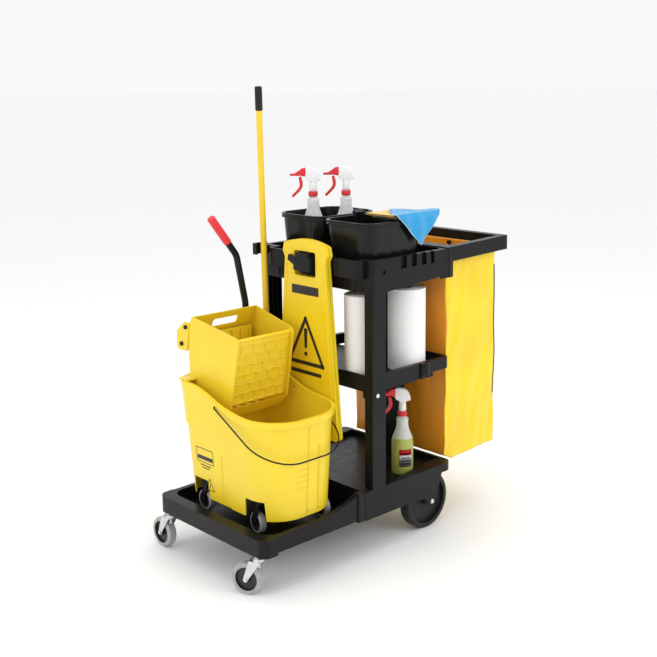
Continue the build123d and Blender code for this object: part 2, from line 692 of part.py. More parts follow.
for name, (side, heading) in CASTER_HEADINGS.items():
    stem = (CASTER_X, side * CASTER_Y)
    caster_fork = make_fork(stem, heading, PLATE_BOTTOM - 0.5, CASTER_R, CASTER_TRAIL, CASTER_GAP, 3, 38, 16)
    with BuildPart() as bored_fork:
        add(caster_fork.part)
        rod((*stem, 80), (*stem, 130), 5.1, mode=Mode.SUBTRACT)
    save(bored_fork, f"{name}_caster_fork")
    save(make_caster_wheel(stem, heading, CASTER_TRAIL, CASTER_R, CASTER_WIDTH, 4.1, 36, CASTER_GAP - 1),
         f"{name}_caster_wheel")


# ================================================================= mop bucket
SHOULDER_OUT = 6
SHOULDER_BOTTOM = 446
SHOULDER_END = -100
SHOULDER_FULL = 40
FULL_OUT = 4
FULL_DRAFT = 3.28
CASTER_CLEARANCE = 48


def tub_solid(grow, draft=TUB_DRAFT):
    """The tapered body of the bucket, with its wall moved out by grow at the bottom."""
    length_x, length_y = TUB_BASE
    with BuildPart() as body:
        with BuildSketch(Plane.XY.offset(TUB_BOTTOM)) as base:
            with Locations((TUB_X, TUB_Y)):
                Rectangle(length_x + 2 * grow, length_y + 2 * grow)
            fillet(base.vertices().group_by(Axis.Y)[0], TUB_CORNERS[0] + grow)
            fillet(base.vertices().group_by(Axis.Y)[-1], TUB_CORNERS[1] + grow)
        extrude(amount=RIM_FAR + 5 - TUB_BOTTOM, taper=-draft)
    return body.part


def rim_line(drop):
    """Side view of the rim: high at the wringer, low at the bowl end."""
    return ((260, RIM_FAR - drop), (150, RIM_FAR - drop), (-10, RIM_MID - drop), (-290, RIM_NEAR - drop))


def above_rim(drop):
    """Everything higher than the rim line, less the given drop."""
    far, crest, mid, near = rim_line(drop)
    with BuildPart() as space:
        with BuildSketch(Plane.YZ):
            with BuildLine():
                flat = Line(far, crest)
                curve = Spline(crest, mid, near, tangents=((-1, 0), (-1, -0.05)))
                Polyline(curve @ 1, (near[0], RIM_FAR + 60), (far[0], RIM_FAR + 60), flat @ 0)
            make_face()
        extrude(amount=-700)
    return space.part


def clipped(solid, low, high):
    """Part of a solid inside a box."""
    with BuildPart() as layer:
        add(solid)
        centre = [(a + b) / 2 for a, b in zip(low, high)]
        size = [b - a for a, b in zip(low, high)]
        with Locations(tuple(centre)):
            Box(*size, mode=Mode.INTERSECT)
    return layer.part


def fading_shoulder():
    """The wider band round the wringer end, fading into the side walls towards the bowl."""
    half = TUB_BASE[0] / 2
    with BuildPart() as band:
        add(clipped(tub_solid(SHOULDER_OUT), (-700, SHOULDER_END, SHOULDER_BOTTOM), (0, 400, 570)))
        with BuildSketch(Plane.XY.offset(TUB_BOTTOM)) as plan:
            with BuildLine():
                Polyline(
                    (TUB_X - half + 1, SHOULDER_END),
                    (TUB_X + half - 1, SHOULDER_END),
                    (TUB_X + half + SHOULDER_OUT + 1, SHOULDER_FULL),
                    (TUB_X + half + SHOULDER_OUT + 1, 400),
                    (TUB_X - half - SHOULDER_OUT - 1, 400),
                    (TUB_X - half - SHOULDER_OUT - 1, SHOULDER_FULL),
                    close=True,
                )
            make_face()
        extrude(plan.sketch, amount=RIM_FAR + 5 - TUB_BOTTOM, taper=-TUB_DRAFT, mode=Mode.INTERSECT)
    return band.part


with BuildPart() as rim_lip:
    add(tub_solid(LIP_OUT))
    add(above_rim(0), mode=Mode.SUBTRACT)
    add(above_rim(LIP_TALL), mode=Mode.INTERSECT)

with BuildPart() as whole_bucket:
    add(tub_solid(0))
    # the bowl end is fuller low down, the wringer end is fuller high up
    add(clipped(tub_solid(FULL_OUT, FULL_DRAFT), (-700, -400, TUB_BOTTOM), (0, -30, 440)))
    add(fading_shoulder())
    add(above_rim(0), mode=Mode.SUBTRACT)
    add(rim_lip.part)
    # inside
    with BuildSketch(Plane.XY.offset(TUB_FLOOR + WALL)) as inside:
        rise = (TUB_FLOOR + WALL - TUB_BOTTOM) * tan(radians(TUB_DRAFT)) - WALL
        with Locations((TUB_X, TUB_Y)):
            Rectangle(TUB_BASE[0] + 2 * rise, TUB_BASE[1] + 2 * rise)
        fillet(inside.vertices().group_by(Axis.Y)[0], TUB_CORNERS[0] + rise)
        fillet(inside.vertices().group_by(Axis.Y)[-1], TUB_CORNERS[1] + rise)
    extrude(amount=RIM_FAR + 20 - TUB_FLOOR, taper=-TUB_DRAFT, mode=Mode.SUBTRACT)
    # hollow underneath
    with BuildSketch(Plane.XY.offset(TUB_BOTTOM - 1)) as under:
        with Locations((TUB_X, TUB_Y)):
            Rectangle(TUB_BASE[0] - 10, TUB_BASE[1] - 10)
        fillet(under.vertices().group_by(Axis.Y)[0], TUB_CORNERS[0] - 5)
        fillet(under.vertices().group_by(Axis.Y)[-1], TUB_CORNERS[1] - 5)
    extrude(amount=TUB_FLOOR - TUB_BOTTOM + 1, mode=Mode.SUBTRACT)
    for stem in BUCKET_STEMS:
        with Locations((*stem, TUB_BOTTOM - 5)):
            Cylinder(CASTER_CLEARANCE, TUB_FLOOR - TUB_BOTTOM + 5,
                     align=(Align.CENTER, Align.CENTER, Align.MIN), mode=Mode.SUBTRACT)
    for side in (-1, 1):
        rod((TUB_X + side * 150, *BAIL_PIVOT[1:]), (TUB_X + side * 185, *BAIL_PIVOT[1:]), BAIL_WIRE + 1.2,
            mode=Mode.SUBTRACT)

FORK_TOP = TUB_FLOOR - 8
SPLIT_Z = TUB_FLOOR + WALL
with BuildPart() as bucket_shell:
    add(clipped(whole_bucket.part, (-700, -400, SPLIT_Z), (0, 400, 700)))
save(bucket_shell, "bucket_shell")

with BuildPart() as bucket_base:
    add(clipped(whole_bucket.part, (-700, -400, 100), (0, 400, SPLIT_Z)))
    for stem in BUCKET_STEMS:
        rod((*stem, FORK_TOP + 0.5), (*stem, TUB_FLOOR + 1), 16)
save(bucket_base, "bucket_base")

with BuildPart() as bucket_bail:
    slope = radians(BAIL_SAG)
    lying = Plane(origin=BAIL_PIVOT, x_dir=(1, 0, 0), z_dir=(0, -sin(slope), cos(slope)))
    with BuildLine(lying) as wire:
        FilletPolyline(
            (-BAIL_HALF + 14, 0),
            (-BAIL_HALF, 0),
            (-BAIL_HALF, -BAIL_REACH),
            (BAIL_HALF, -BAIL_REACH),
            (BAIL_HALF, 0),
            (BAIL_HALF - 14, 0),
            radius=[6, 132, 132, 6],
        )
    with BuildSketch(Plane(origin=wire.edges()[0] @ 0, z_dir=(1, 0, 0))):
        Circle(BAIL_WIRE)
    sweep(path=wire.wires()[0])
save(bucket_bail, "bucket_bail")

BUCKET_AXLE_Z = PLATFORM_FLOOR + 0.3 + BUCKET_WHEEL_R
for number, (stem, heading) in enumerate(zip(BUCKET_STEMS, BUCKET_SWIVELS), start=1):
    bucket_fork = make_fork(stem, heading, FORK_TOP, BUCKET_AXLE_Z, BUCKET_TRAIL, 25, 3, 34, 16)
    bucket_wheel = make_caster_wheel((*stem, BUCKET_AXLE_Z), heading, BUCKET_TRAIL, BUCKET_WHEEL_R,
                                     22, 4.1, 26, 24)
    save(bucket_fork, f"bucket_fork_{number}")
    save(bucket_wheel, f"bucket_wheel_{number}")


# ================================================================= wringer
WRINGER_X = (WRINGER_LEFT + WRINGER_RIGHT) / 2
BACK_BEND = 709
BACK_CREST = (174, 797)
FRONT_CREST = 754
FRONT_LOW = (-2, 520)
FRONT_SET_BACK = 16
FRONT_PLATE = 6


def wringer_side(inset):
    """Side view of the wringer's floor and back, moved in by inset."""
    return (
        (FRONT_LOW[0] + inset, FRONT_LOW[1]),
        (46 + inset / 2, WRINGER_FLOOR + inset),
        (200 - inset, WRINGER_FLOOR + inset),
        (212 - inset, 600),
        (WRINGER_BACK - inset, 640),
        (WRINGER_BACK - inset, BACK_BEND),
        (BACK_CREST[0] - inset, BACK_CREST[1] - inset / 2),
    )


def wringer_plan(inset):
    """Everything inside the wringer's tapered plan, moved in by inset."""
    rear_half = (WRINGER_RIGHT - WRINGER_LEFT) / 2 - inset
    front_half = WRINGER_FRONT_HALF - inset
    # the sides run on in a straight line past the front
    front_y = WRINGER_FRONT - 54
    front_half -= 54 * (rear_half - front_half) / (WRINGER_BACK - WRINGER_FRONT)
    with BuildPart() as space:
        with BuildSketch(Plane.XY.offset(WRINGER_FLOOR - 20)) as plan:
            with BuildLine():
                Polyline(
                    (WRINGER_X - rear_half, WRINGER_BACK),
                    (WRINGER_X - front_half, front_y),
                    (WRINGER_X + front_half, front_y),
                    (WRINGER_X + rear_half, WRINGER_BACK),
                    close=True,
                )
            make_face()
            # rounded back corners clear the tub's own
            fillet(plan.vertices().group_by(Axis.Y)[-1], 30)
        extrude(amount=460)
    return space.part


def front_face(z):
    """Y of the brick wall's front face at a height."""
    lean = (WRINGER_FRONT - FRONT_LOW[0]) / (FRONT_CREST - FRONT_LOW[1])
    return FRONT_LOW[0] + FRONT_SET_BACK + lean * (z - FRONT_LOW[1])


with BuildPart() as wringer_cavity:
    with BuildSketch(Plane.YZ.offset(WRINGER_LEFT - 1)):
        with BuildLine():
            Polyline(
                *wringer_side(WALL),
                (BACK_CREST[0] - WALL, 900),
                (WRINGER_FRONT - 40, 900),
                (WRINGER_FRONT - 40, FRONT_LOW[1]),
                close=True,
            )
        make_face()
    extrude(amount=WRINGER_RIGHT - WRINGER_LEFT + 2)
    add(wringer_plan(WALL), mode=Mode.INTERSECT)

with BuildPart() as wringer_basket:
    with BuildSketch(Plane.YZ.offset(WRINGER_LEFT)) as outline:
        with BuildLine():
            Polyline(*wringer_side(0), (WRINGER_FRONT, FRONT_CREST), close=True)
        make_face()
        fillet(outline.vertices().sort_by(Axis.X)[0], 18)
    extrude(amount=WRINGER_RIGHT - WRINGER_LEFT)
    add(wringer_plan(0), mode=Mode.INTERSECT)
    # ears for the lever's shaft and a pin, the right one just inboard of the lever
    for ear_x in (WRINGER_LEFT, LEVER_X - LEVER_R - 2 - EAR_THICK):
        with BuildSketch(Plane.YZ.offset(ear_x)):
            with BuildLine():
                Polyline((205, 678), (250, 678), (257, 690), (257, 739), (216, 774), (184, 774), close=True)
            make_face()
        extrude(amount=EAR_THICK)
        rod((ear_x - 3, SHAFT_Y, SHAFT_Z), (ear_x + EAR_THICK + 3, SHAFT_Y, SHAFT_Z), 7.05,
            mode=Mode.SUBTRACT)
        rod((ear_x - 3, PIN_Y, PIN_Z), (ear_x + EAR_THICK + 3, PIN_Y, PIN_Z), 3.05, mode=Mode.SUBTRACT)
    # ledges that rest on the bucket's rim
    for inner_x, outer_x in ((WRINGER_LEFT + 10, TUB_X - 168), (WRINGER_RIGHT - 10, TUB_X + 168)):
        ledge_low, ledge_high = sorted((inner_x, outer_x))
        block((ledge_low, 158, RIM_FAR + 0.3), (ledge_high, 204, RIM_FAR + 6))
    # hollow, open at the top and front
    add(wringer_cavity.part, mode=Mode.SUBTRACT)
    # hand hole through the sloping top of the back wall
    with BuildSketch(Plane.XZ.offset(-160)):
        with Locations((-352, 760)):
            RectangleRounded(104, 26, 9)
    extrude(amount=-60, mode=Mode.SUBTRACT)
    # ribs inside the back wall, and drain slots in the floor
    for rib in range(6):
        rib_x = WRINGER_LEFT + 40 + rib * 40
        block((rib_x - 2, 203, 625), (rib_x + 2, 213, 705))
        block((rib_x - 12, 70, 470), (rib_x + 12, 180, 490), mode=Mode.SUBTRACT)
save(wringer_basket, "wringer_basket")

# the front wall, with a brick pattern moulded into its face
BRICK = (40, 24)
BRICK_GAP = 8
BRICK_DEPTH = 2
BRICK_ROWS = 6
WALL_TOP = 742
WALL_LOW = 524
with BuildPart() as wringer_front:
    with BuildSketch(Plane.YZ.offset(WRINGER_LEFT)):
        with BuildLine():
            Polyline(
                (front_face(WALL_LOW), WALL_LOW),
                (front_face(WALL_TOP), WALL_TOP),
                (front_face(WALL_TOP) + FRONT_PLATE, WALL_TOP),
                (front_face(WALL_LOW) + FRONT_PLATE, WALL_LOW),
                close=True,
            )
        make_face()
    extrude(amount=WRINGER_RIGHT - WRINGER_LEFT)
    lip_y = front_face(WALL_TOP) + FRONT_PLATE / 2
    rod((WRINGER_LEFT, lip_y, WALL_TOP), (WRINGER_RIGHT, lip_y, WALL_TOP), 6)
    add(wringer_plan(WALL), mode=Mode.INTERSECT)
    reach = WRINGER_FRONT_HALF - 2 * WALL - 4
    for row in range(BRICK_ROWS):
        low_z = WALL_LOW + 10 + row * (BRICK[1] + BRICK_GAP)
        high_z = low_z + BRICK[1]
        left = WRINGER_X - reach - (BRICK[0] + BRICK_GAP) / 2 * (row % 2)
        while left < WRINGER_X + reach:
            low_x = max(left, WRINGER_X - reach)
            high_x = min(left + BRICK[0], WRINGER_X + reach)
            if high_x - low_x > BRICK_GAP:
                with BuildSketch(Plane.YZ.offset(low_x)) as pocket:
                    with BuildLine():
                        Polyline(
                            (front_face(low_z) - 3, low_z),
                            (front_face(high_z) - 3, high_z),
                            (front_face(high_z) + BRICK_DEPTH, high_z),
                            (front_face(low_z) + BRICK_DEPTH, low_z),
                            close=True,
                        )
                    make_face()
                extrude(amount=high_x - low_x, mode=Mode.SUBTRACT)
            left += BRICK[0] + BRICK_GAP
save(wringer_front, "wringer_front")

with BuildPart() as wringer_pins:
    for ear_x, outward in ((WRINGER_LEFT, -1), (LEVER_X - LEVER_R - 2, 1)):
        rod((ear_x, PIN_Y, PIN_Z), (ear_x - outward * (EAR_THICK + 2), PIN_Y, PIN_Z), 3)
        rod((ear_x, PIN_Y, PIN_Z), (ear_x + outward * 6, PIN_Y, PIN_Z), 7)
save(wringer_pins, "wringer_pins")

PRESS_HALF = 118
with BuildPart() as press_plate:
    block((WRINGER_X - PRESS_HALF, 186, 500), (WRINGER_X + PRESS_HALF, 192, 730))
    for rib in range(7):
        rib_x = WRINGER_X + (rib - 3) * 37
        block((rib_x - 3, 178, 505), (rib_x + 3, 187, 725))
save(press_plate, "press_plate")

LEVER_PATH = (
    (LEVER_X, SHAFT_Y, SHAFT_Z),
    (LEVER_X, SHAFT_Y, 800),
    (-266, SHAFT_Y, 968),
    (-369, SHAFT_Y, 1104),
)
LEVER_DIRECTION = (Vector(*LEVER_PATH[3]) - Vector(*LEVER_PATH[2])).normalized()
GRIP_LENGTH = 118
GRIP_START = Vector(*LEVER_PATH[3]) - LEVER_DIRECTION * GRIP_LENGTH
with BuildPart() as wringer_lever:
    with BuildLine() as tube:
        FilletPolyline(*LEVER_PATH[:3], tuple(GRIP_START + LEVER_DIRECTION * 4), radius=[120, 60])
    with BuildSketch(Plane(origin=LEVER_PATH[0], z_dir=(0, 0, 1))):
        Circle(LEVER_R)
    sweep(path=tube.wires()[0])
    rod((WRINGER_LEFT - 6, SHAFT_Y, SHAFT_Z), (WRINGER_RIGHT + 6, SHAFT_Y, SHAFT_Z), 7)
save(wringer_lever, "wringer_lever")

with BuildPart() as lever_grip:
    rod(tuple(GRIP_START + LEVER_DIRECTION * 4), LEVER_PATH[3], 14)
    fillet(lever_grip.edges().filter_by(GeomType.CIRCLE), 4)
save(lever_grip, "lever_grip")

# ================================================================= mop handle
MOP_AXIS = (Vector(*MOP_TOP) - Vector(*MOP_FOOT)).normalized()
MOP_GRIP = 82
with BuildPart() as mop_handle:
    rod(tuple(Vector(*MOP_FOOT) + MOP_AXIS * 0.4), tuple(Vector(*MOP_TOP) - MOP_AXIS * MOP_GRIP), 10.5)
save(mop_handle, "mop_handle")

with BuildPart() as mop_grip:
    rod(tuple(Vector(*MOP_TOP) - MOP_AXIS * MOP_GRIP), MOP_TOP, 12.5)
    fillet(mop_grip.edges().filter_by(GeomType.CIRCLE), 5)
save(mop_grip, "mop_grip")


# ================================================================= floor sign
SIGN_BOTTOM = 378
HOLE_HALF = 52
HOLE_LOW = 915


def make_leaf(front, hole_top):
    """One leaf of the folded floor sign, front face at the given X."""
    with BuildPart() as leaf:
        with BuildSketch(Plane.YZ.offset(front)):
            with BuildLine():
                outline = Polyline(
                    (SIGN_Y - 151, SIGN_BOTTOM),
                    (SIGN_Y - 99, 970),
                    (SIGN_Y - 110, 992),
                    (SIGN_Y - 103, 1020),
                )
                crown = ThreePointArc(outline @ 1, (SIGN_Y, 1037), (SIGN_Y + 103, 1020))
                Polyline(
                    crown @ 1,
                    (SIGN_Y + 110, 992),
                    (SIGN_Y + 99, 970),
                    (SIGN_Y + 151, SIGN_BOTTOM),
                    outline @ 0,
                )
            make_face()
            with Locations((SIGN_Y, (HOLE_LOW + hole_top) / 2)):
                RectangleRounded(2 * HOLE_HALF, hole_top - HOLE_LOW, 8, mode=Mode.SUBTRACT)
        extrude(amount=SIGN_LEAF)
        fillet(leaf.edges().filter_by(Axis.X).group_by(Axis.Z)[0], 12)
    return leaf


save(make_leaf(SIGN_FRONT, 998), "sign_front_leaf")
save(make_leaf(SIGN_FRONT + SIGN_LEAF + 2, 1010), "sign_rear_leaf")


# ================================================================= pails
def make_pail(centre):
    """Tapered square pail with a rolled rim and a lifting ear."""
    x, y = centre
    draft = 4.5
    inset = PAIL_HEIGHT * tan(radians(draft)) + 6
    with BuildPart() as pail:
        with BuildSketch(Plane.XY.offset(PAIL_BASE)):
            with Locations((x, y)):
                RectangleRounded(PAIL_SIZE[0] - 2 * inset, PAIL_SIZE[1] - 2 * inset, 42)
        extrude(amount=PAIL_HEIGHT, taper=-draft)
        with BuildSketch(Plane.XY.offset(PAIL_BASE + PAIL_HEIGHT - 12)):
            with Locations((x, y)):
                RectangleRounded(PAIL_SIZE[0], PAIL_SIZE[1], 58)
        extrude(amount=12)
        with BuildSketch(Plane.XY.offset(PAIL_BASE + 3)):
            with Locations((x, y)):
                RectangleRounded(PAIL_SIZE[0] - 2 * inset - 6, PAIL_SIZE[1] - 2 * inset - 6, 39)
        extrude(amount=PAIL_HEIGHT, taper=-draft, mode=Mode.SUBTRACT)
        for side in (-1, 1):
            with Locations((x + 40, y + side * (PAIL_SIZE[1] / 2 - 5), PAIL_BASE + PAIL_HEIGHT + 5)):
                Box(40, 9, 10)
    return pail


save(make_pail(NEAR_PAIL), "near_pail")
save(make_pail(FAR_PAIL), "far_pail")

PAIL_RIM = PAIL_BASE + PAIL_HEIGHT
with BuildPart() as cloth_stack:
    block((66, -226, PAIL_RIM + 0.4), (166, -50, PAIL_RIM + 17))
    fillet(cloth_stack.edges().filter_by(Axis.Z), 10)
save(cloth_stack, "cloth_stack")

with BuildPart() as blue_cloth:
    block((60, -252, PAIL_RIM + 17.4), (196, -80, PAIL_RIM + 22))
    with BuildSketch(Plane.XZ.offset(262)):
        with BuildLine():
            Polyline((60, PAIL_RIM + 22), (196, PAIL_RIM + 22), (196, PAIL_RIM - 10), (132, 1012),
                     (60, PAIL_RIM - 8), close=True)
        make_face()
    extrude(amount=4)
    block((60, -264, PAIL_RIM + 17.4), (196, -250, PAIL_RIM + 22))
save(blue_cloth, "blue_cloth")

# ================================================================= paper rolls
for name, (x, y) in ROLLS.items():
    with BuildPart() as roll:
        rod((x, y, SHELF_FLOOR + 0.3), (x, y, SHELF_FLOOR + ROLL_HEIGHT), ROLL_R)
        rod((x, y, SHELF_FLOOR - 5), (x, y, SHELF_FLOOR + ROLL_HEIGHT + 5), 20, mode=Mode.SUBTRACT)
    save(roll, name)

# ================================================================= spray bottles
AIM = (cos(radians(SPRAY_HEADING)), sin(radians(SPRAY_HEADING)), 0)
ACROSS = (AIM[1], -AIM[0], 0)
TRIGGER_PIVOT = (44, 272)
TRIGGER_PIN_R = 1.5


def bottle_plane(place, across=0.0):
    """Upright plane through a bottle's axis: local x is the way it sprays, local y is up."""
    x, y, z = place
    return Plane(origin=(x + ACROSS[0] * across, y + ACROSS[1] * across, z), x_dir=AIM, z_dir=ACROSS)


def make_bottle(place):
    """Closed bottle: straight body, waisted shoulder and a narrow neck."""
    with BuildPart() as bottle:
        with BuildSketch(bottle_plane(place)):
            with BuildLine():
                base = Polyline((0, 0), (35, 0), (38, 4), (38, 118))
                shoulder = Spline(base @ 1, (30, 150), (20, 182), (13, 197), tangents=((0, 1), (-0.2, 1)))
                Polyline(shoulder @ 1, (13, 205), (0, 205), base @ 0)
            make_face()
        revolve(axis=Axis(place, (0, 0, 1)))
    return bottle


def make_sprayer(place):
    """Collar, housing and nozzle of the sprayer, with the pin for its trigger."""
    x, y, z = place
    with BuildPart() as sprayer:
        rod((x, y, z + 205), (x, y, z + 222), 15)
        rod((x, y, z + 222), (x, y, z + 250), 9)
        with BuildSketch(bottle_plane(place, -9)):
            with BuildLine():
                Polyline((30, 300), (-8, 300), (-30, 268), (-22, 262), (-9, 250), (9, 250), (30, 268),
                         close=True)
            make_face()
        extrude(amount=18)
        with BuildSketch(bottle_plane(place, -10)):
            with BuildLine():
                Polyline((30, 303), (44, 303), (60, 288), (74, 288), (74, 278), (52, 276), (30, 276),
                         close=True)
            make_face()
        extrude(amount=20)
        # two ears under the nozzle, and the pin that the trigger turns on
        for across in (-10, 7):
            with BuildSketch(bottle_plane(place, across)):
                with BuildLine():
                    Polyline((38, 277), (50, 277), (48, 268), (40, 268), close=True)
                make_face()
            extrude(amount=3)
        with BuildSketch(bottle_plane(place, -9)):
            with Locations(TRIGGER_PIVOT):
                Circle(TRIGGER_PIN_R)
        extrude(amount=18)
    return sprayer


def make_trigger(place):
    """The trigger lever, curved forward below the nozzle."""
    with BuildPart() as trigger:
        with BuildSketch(bottle_plane(place, -6)):
            with BuildLine():
                Polyline((38, 272), (50, 272), (46, 252), (50, 232), (68, 208), (60, 203), (38, 230),
                         (34, 252), close=True)
            make_face()
            with Locations(TRIGGER_PIVOT):
                Circle(TRIGGER_PIN_R + 2)
                Circle(TRIGGER_PIN_R + 0.3, mode=Mode.SUBTRACT)
        extrude(amount=12)
    return trigger


for name, place in BOTTLES.items():
    save(make_bottle(place), name)
    save(make_sprayer(place), f"{name}_sprayer")
    save(make_trigger(place), f"{name}_trigger")
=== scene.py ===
"""Looks of the housekeeping cart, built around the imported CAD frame.

Metres, +Z up, floor at Z = 0. Every piece rides on a CAD body, and places come from the
frame's own boxes wherever the CAD has the matching part.
"""

import json
from math import atan2, cos, pi, radians, sin, sqrt

import bmesh
import bpy
from mathutils import Matrix, Vector, noise
from mathutils.bvhtree import BVHTree


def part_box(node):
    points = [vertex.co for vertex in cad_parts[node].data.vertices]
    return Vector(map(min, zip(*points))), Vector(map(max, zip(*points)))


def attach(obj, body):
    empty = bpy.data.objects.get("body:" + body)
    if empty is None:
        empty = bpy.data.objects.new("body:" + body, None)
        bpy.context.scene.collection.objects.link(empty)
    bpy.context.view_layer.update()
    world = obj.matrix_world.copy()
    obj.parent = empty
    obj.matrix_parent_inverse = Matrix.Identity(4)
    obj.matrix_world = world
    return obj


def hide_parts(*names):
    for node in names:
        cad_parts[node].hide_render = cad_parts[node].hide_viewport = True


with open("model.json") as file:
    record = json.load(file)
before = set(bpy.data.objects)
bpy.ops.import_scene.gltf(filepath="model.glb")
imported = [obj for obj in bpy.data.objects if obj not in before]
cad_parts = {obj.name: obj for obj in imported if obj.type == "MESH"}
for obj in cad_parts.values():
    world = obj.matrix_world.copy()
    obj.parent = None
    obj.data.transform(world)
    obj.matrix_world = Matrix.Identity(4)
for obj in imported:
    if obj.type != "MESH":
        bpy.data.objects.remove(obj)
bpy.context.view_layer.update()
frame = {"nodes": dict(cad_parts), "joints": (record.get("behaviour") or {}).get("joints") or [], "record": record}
nodes = frame["nodes"]
MM = 0.001
UP = Vector((0, 0, 1))

# ------------------------------------------------------------------ camera, lights, floor
CAMERA_PLACE = Vector((-2.43768, -2.58118, 1.52376))
CAMERA_YAW = radians(46.456)
CAMERA_PITCH = radians(10.464)
CAMERA_ROLL = -0.008
LENS = 57.59
SHIFT = (-0.0216, -0.0706)


def make_camera():
    """Camera from the front corner of the cart, looking slightly down."""
    flat = cos(CAMERA_PITCH)
    forward = Vector((flat * cos(CAMERA_YAW), flat * sin(CAMERA_YAW), -sin(CAMERA_PITCH)))
    level = Vector((sin(CAMERA_YAW), -cos(CAMERA_YAW), 0))
    above = level.cross(forward)
    right = cos(CAMERA_ROLL) * level + sin(CAMERA_ROLL) * above
    top = cos(CAMERA_ROLL) * above - sin(CAMERA_ROLL) * level
    data = bpy.data.cameras.new("camera")
    data.sensor_width = 36
    data.lens = LENS
    data.shift_x, data.shift_y = SHIFT
    camera = bpy.data.objects.new("camera", data)
    turn = Matrix((right, top, -forward)).transposed()
    camera.matrix_world = Matrix.Translation(CAMERA_PLACE) @ turn.to_4x4()
    bpy.context.scene.collection.objects.link(camera)
    bpy.context.scene.camera = camera


def soft_light(name, place, target, size, power):
    """A square area light aimed at a point."""
    data = bpy.data.lights.new(name, "AREA")
    data.size = size
    data.energy = power
    light = bpy.data.objects.new(name, data)
    light.location = place
    light.rotation_euler = (Vector(place) - Vector(target)).to_track_quat("Z", "Y").to_euler()
    bpy.context.scene.collection.objects.link(light)


def make_studio():
    """White surroundings and three large soft lights."""
    scene = bpy.context.scene
    scene.view_settings.view_transform = "Standard"
    scene.world = bpy.data.worlds.new("studio")
    scene.world.use_nodes = True
    background = scene.world.node_tree.nodes["Background"]
    background.inputs["Color"].default_value = (1, 1, 1, 1)
    background.inputs["Strength"].default_value = 0.95
    soft_light("key", (1.2, -4.2, 2.6), (0.1, 0, 0.55), 2.2, 42)
    soft_light("fill", (-4.4, 0.4, 2.2), (-0.1, 0, 0.6), 2.0, 26)
    soft_light("top", (0.2, 0.2, 4.2), (0, 0, 0.5), 2.6, 38)


# ------------------------------------------------------------------ shader helpers
class Shader:
    """One Principled material, with short names for the nodes that feed it."""

    def __init__(self, name, color, roughness, **sockets):
        self.material = bpy.data.materials.new(name)
        self.material.use_nodes = True
        self.tree = self.material.node_tree
        self.bsdf = self.tree.nodes["Principled BSDF"]
        self.place = self.new("TexCoord").outputs["Object"]
        self.normal = None
        self.bsdf.inputs["Base Color"].default_value = (*color, 1)
        self.bsdf.inputs["Roughness"].default_value = roughness
        for socket, value in sockets.items():
            self.bsdf.inputs[socket.replace("_", " ")].default_value = value

    def new(self, kind):
        return self.tree.nodes.new("ShaderNode" + kind)

    def link(self, output, socket):
        self.tree.links.new(output, socket)

    def stretched(self, stretch):
        """Object coordinates scaled by a different amount along each axis."""
        mapping = self.new("Mapping")
        mapping.inputs["Scale"].default_value = stretch
        self.link(self.place, mapping.inputs["Vector"])
        return mapping.outputs["Vector"]

    def noise(self, scale, detail=3.0, stretch=(1, 1, 1)):
        node = self.new("TexNoise")
        node.inputs["Scale"].default_value = scale
        node.inputs["Detail"].default_value = detail
        self.link(self.stretched(stretch), node.inputs["Vector"])
        return node.outputs["Fac"]

    def cells(self, scale, stretch=(1, 1, 1)):
        node = self.new("TexVoronoi")
        node.inputs["Scale"].default_value = scale
        self.link(self.stretched(stretch), node.inputs["Vector"])
        return node.outputs["Distance"]

    def ramp(self, value, low, high):
        """A value stretched so that low gives 0 and high gives 1."""
        node = self.new("MapRange")
        node.inputs["From Min"].default_value = low
        node.inputs["From Max"].default_value = high
        self.link(value, node.inputs["Value"])
        return node.outputs["Result"]

    def blend(self, share, first, second):
        """A colour between two others; each is an RGB tuple or an output."""
        node = self.new("Mix")
        node.data_type = "RGBA"
        self.link(share, node.inputs[0])
        for socket, value in ((node.inputs[6], first), (node.inputs[7], second)):
            if isinstance(value, tuple):
                socket.default_value = (*value, 1)
            else:
                self.link(value, socket)
        return node.outputs[2]

    def color(self, output):
        self.link(output, self.bsdf.inputs["Base Color"])
        return self

    def rough(self, value, low, high):
        """Roughness that follows a 0 to 1 value between two limits."""
        node = self.new("MapRange")
        node.inputs["To Min"].default_value = low
        node.inputs["To Max"].default_value = high
        self.link(value, node.inputs["Value"])
        self.link(node.outputs["Result"], self.bsdf.inputs["Roughness"])
        return self

    def soften_edges(self, radius):
        """Sharp moulded edges catch the light as if they were rounded by this radius."""
        node = self.new("Bevel")
        node.samples = 4
        node.inputs["Radius"].default_value = radius
        self.normal = node.outputs["Normal"]
        return self

    def bump(self, height, strength, distance):
        node = self.new("Bump")
        node.inputs["Strength"].default_value = strength
        node.inputs["Distance"].default_value = distance
        self.link(height, node.inputs["Height"])
        if self.normal is not None:
            self.link(self.normal, node.inputs["Normal"])
        self.normal = node.outputs["Normal"]
        return self

    def done(self):
        if self.normal is not None:
            self.link(self.normal, self.bsdf.inputs["Normal"])
        return self.material


def moulded(name, color, roughness, tint, grain=900, grain_depth=0.12, edge=1.2 * MM, **sockets):
    """Injection moulded plastic: fine grain, cloudy colour, scuffs that change the gloss."""
    shader = Shader(name, color, roughness, **sockets)
    clouds = shader.noise(5, 4)
    scuffs = shader.noise(38, 6, (1, 1, 0.35))
    shader.color(shader.blend(shader.ramp(clouds, 0.35, 0.7), color, tint))
    shader.rough(shader.ramp(scuffs, 0.35, 0.75), roughness - 0.05, roughness + 0.09)
    shader.soften_edges(edge)
    shader.bump(shader.noise(grain, 2), grain_depth, 0.15 * MM)
    return shader.done()


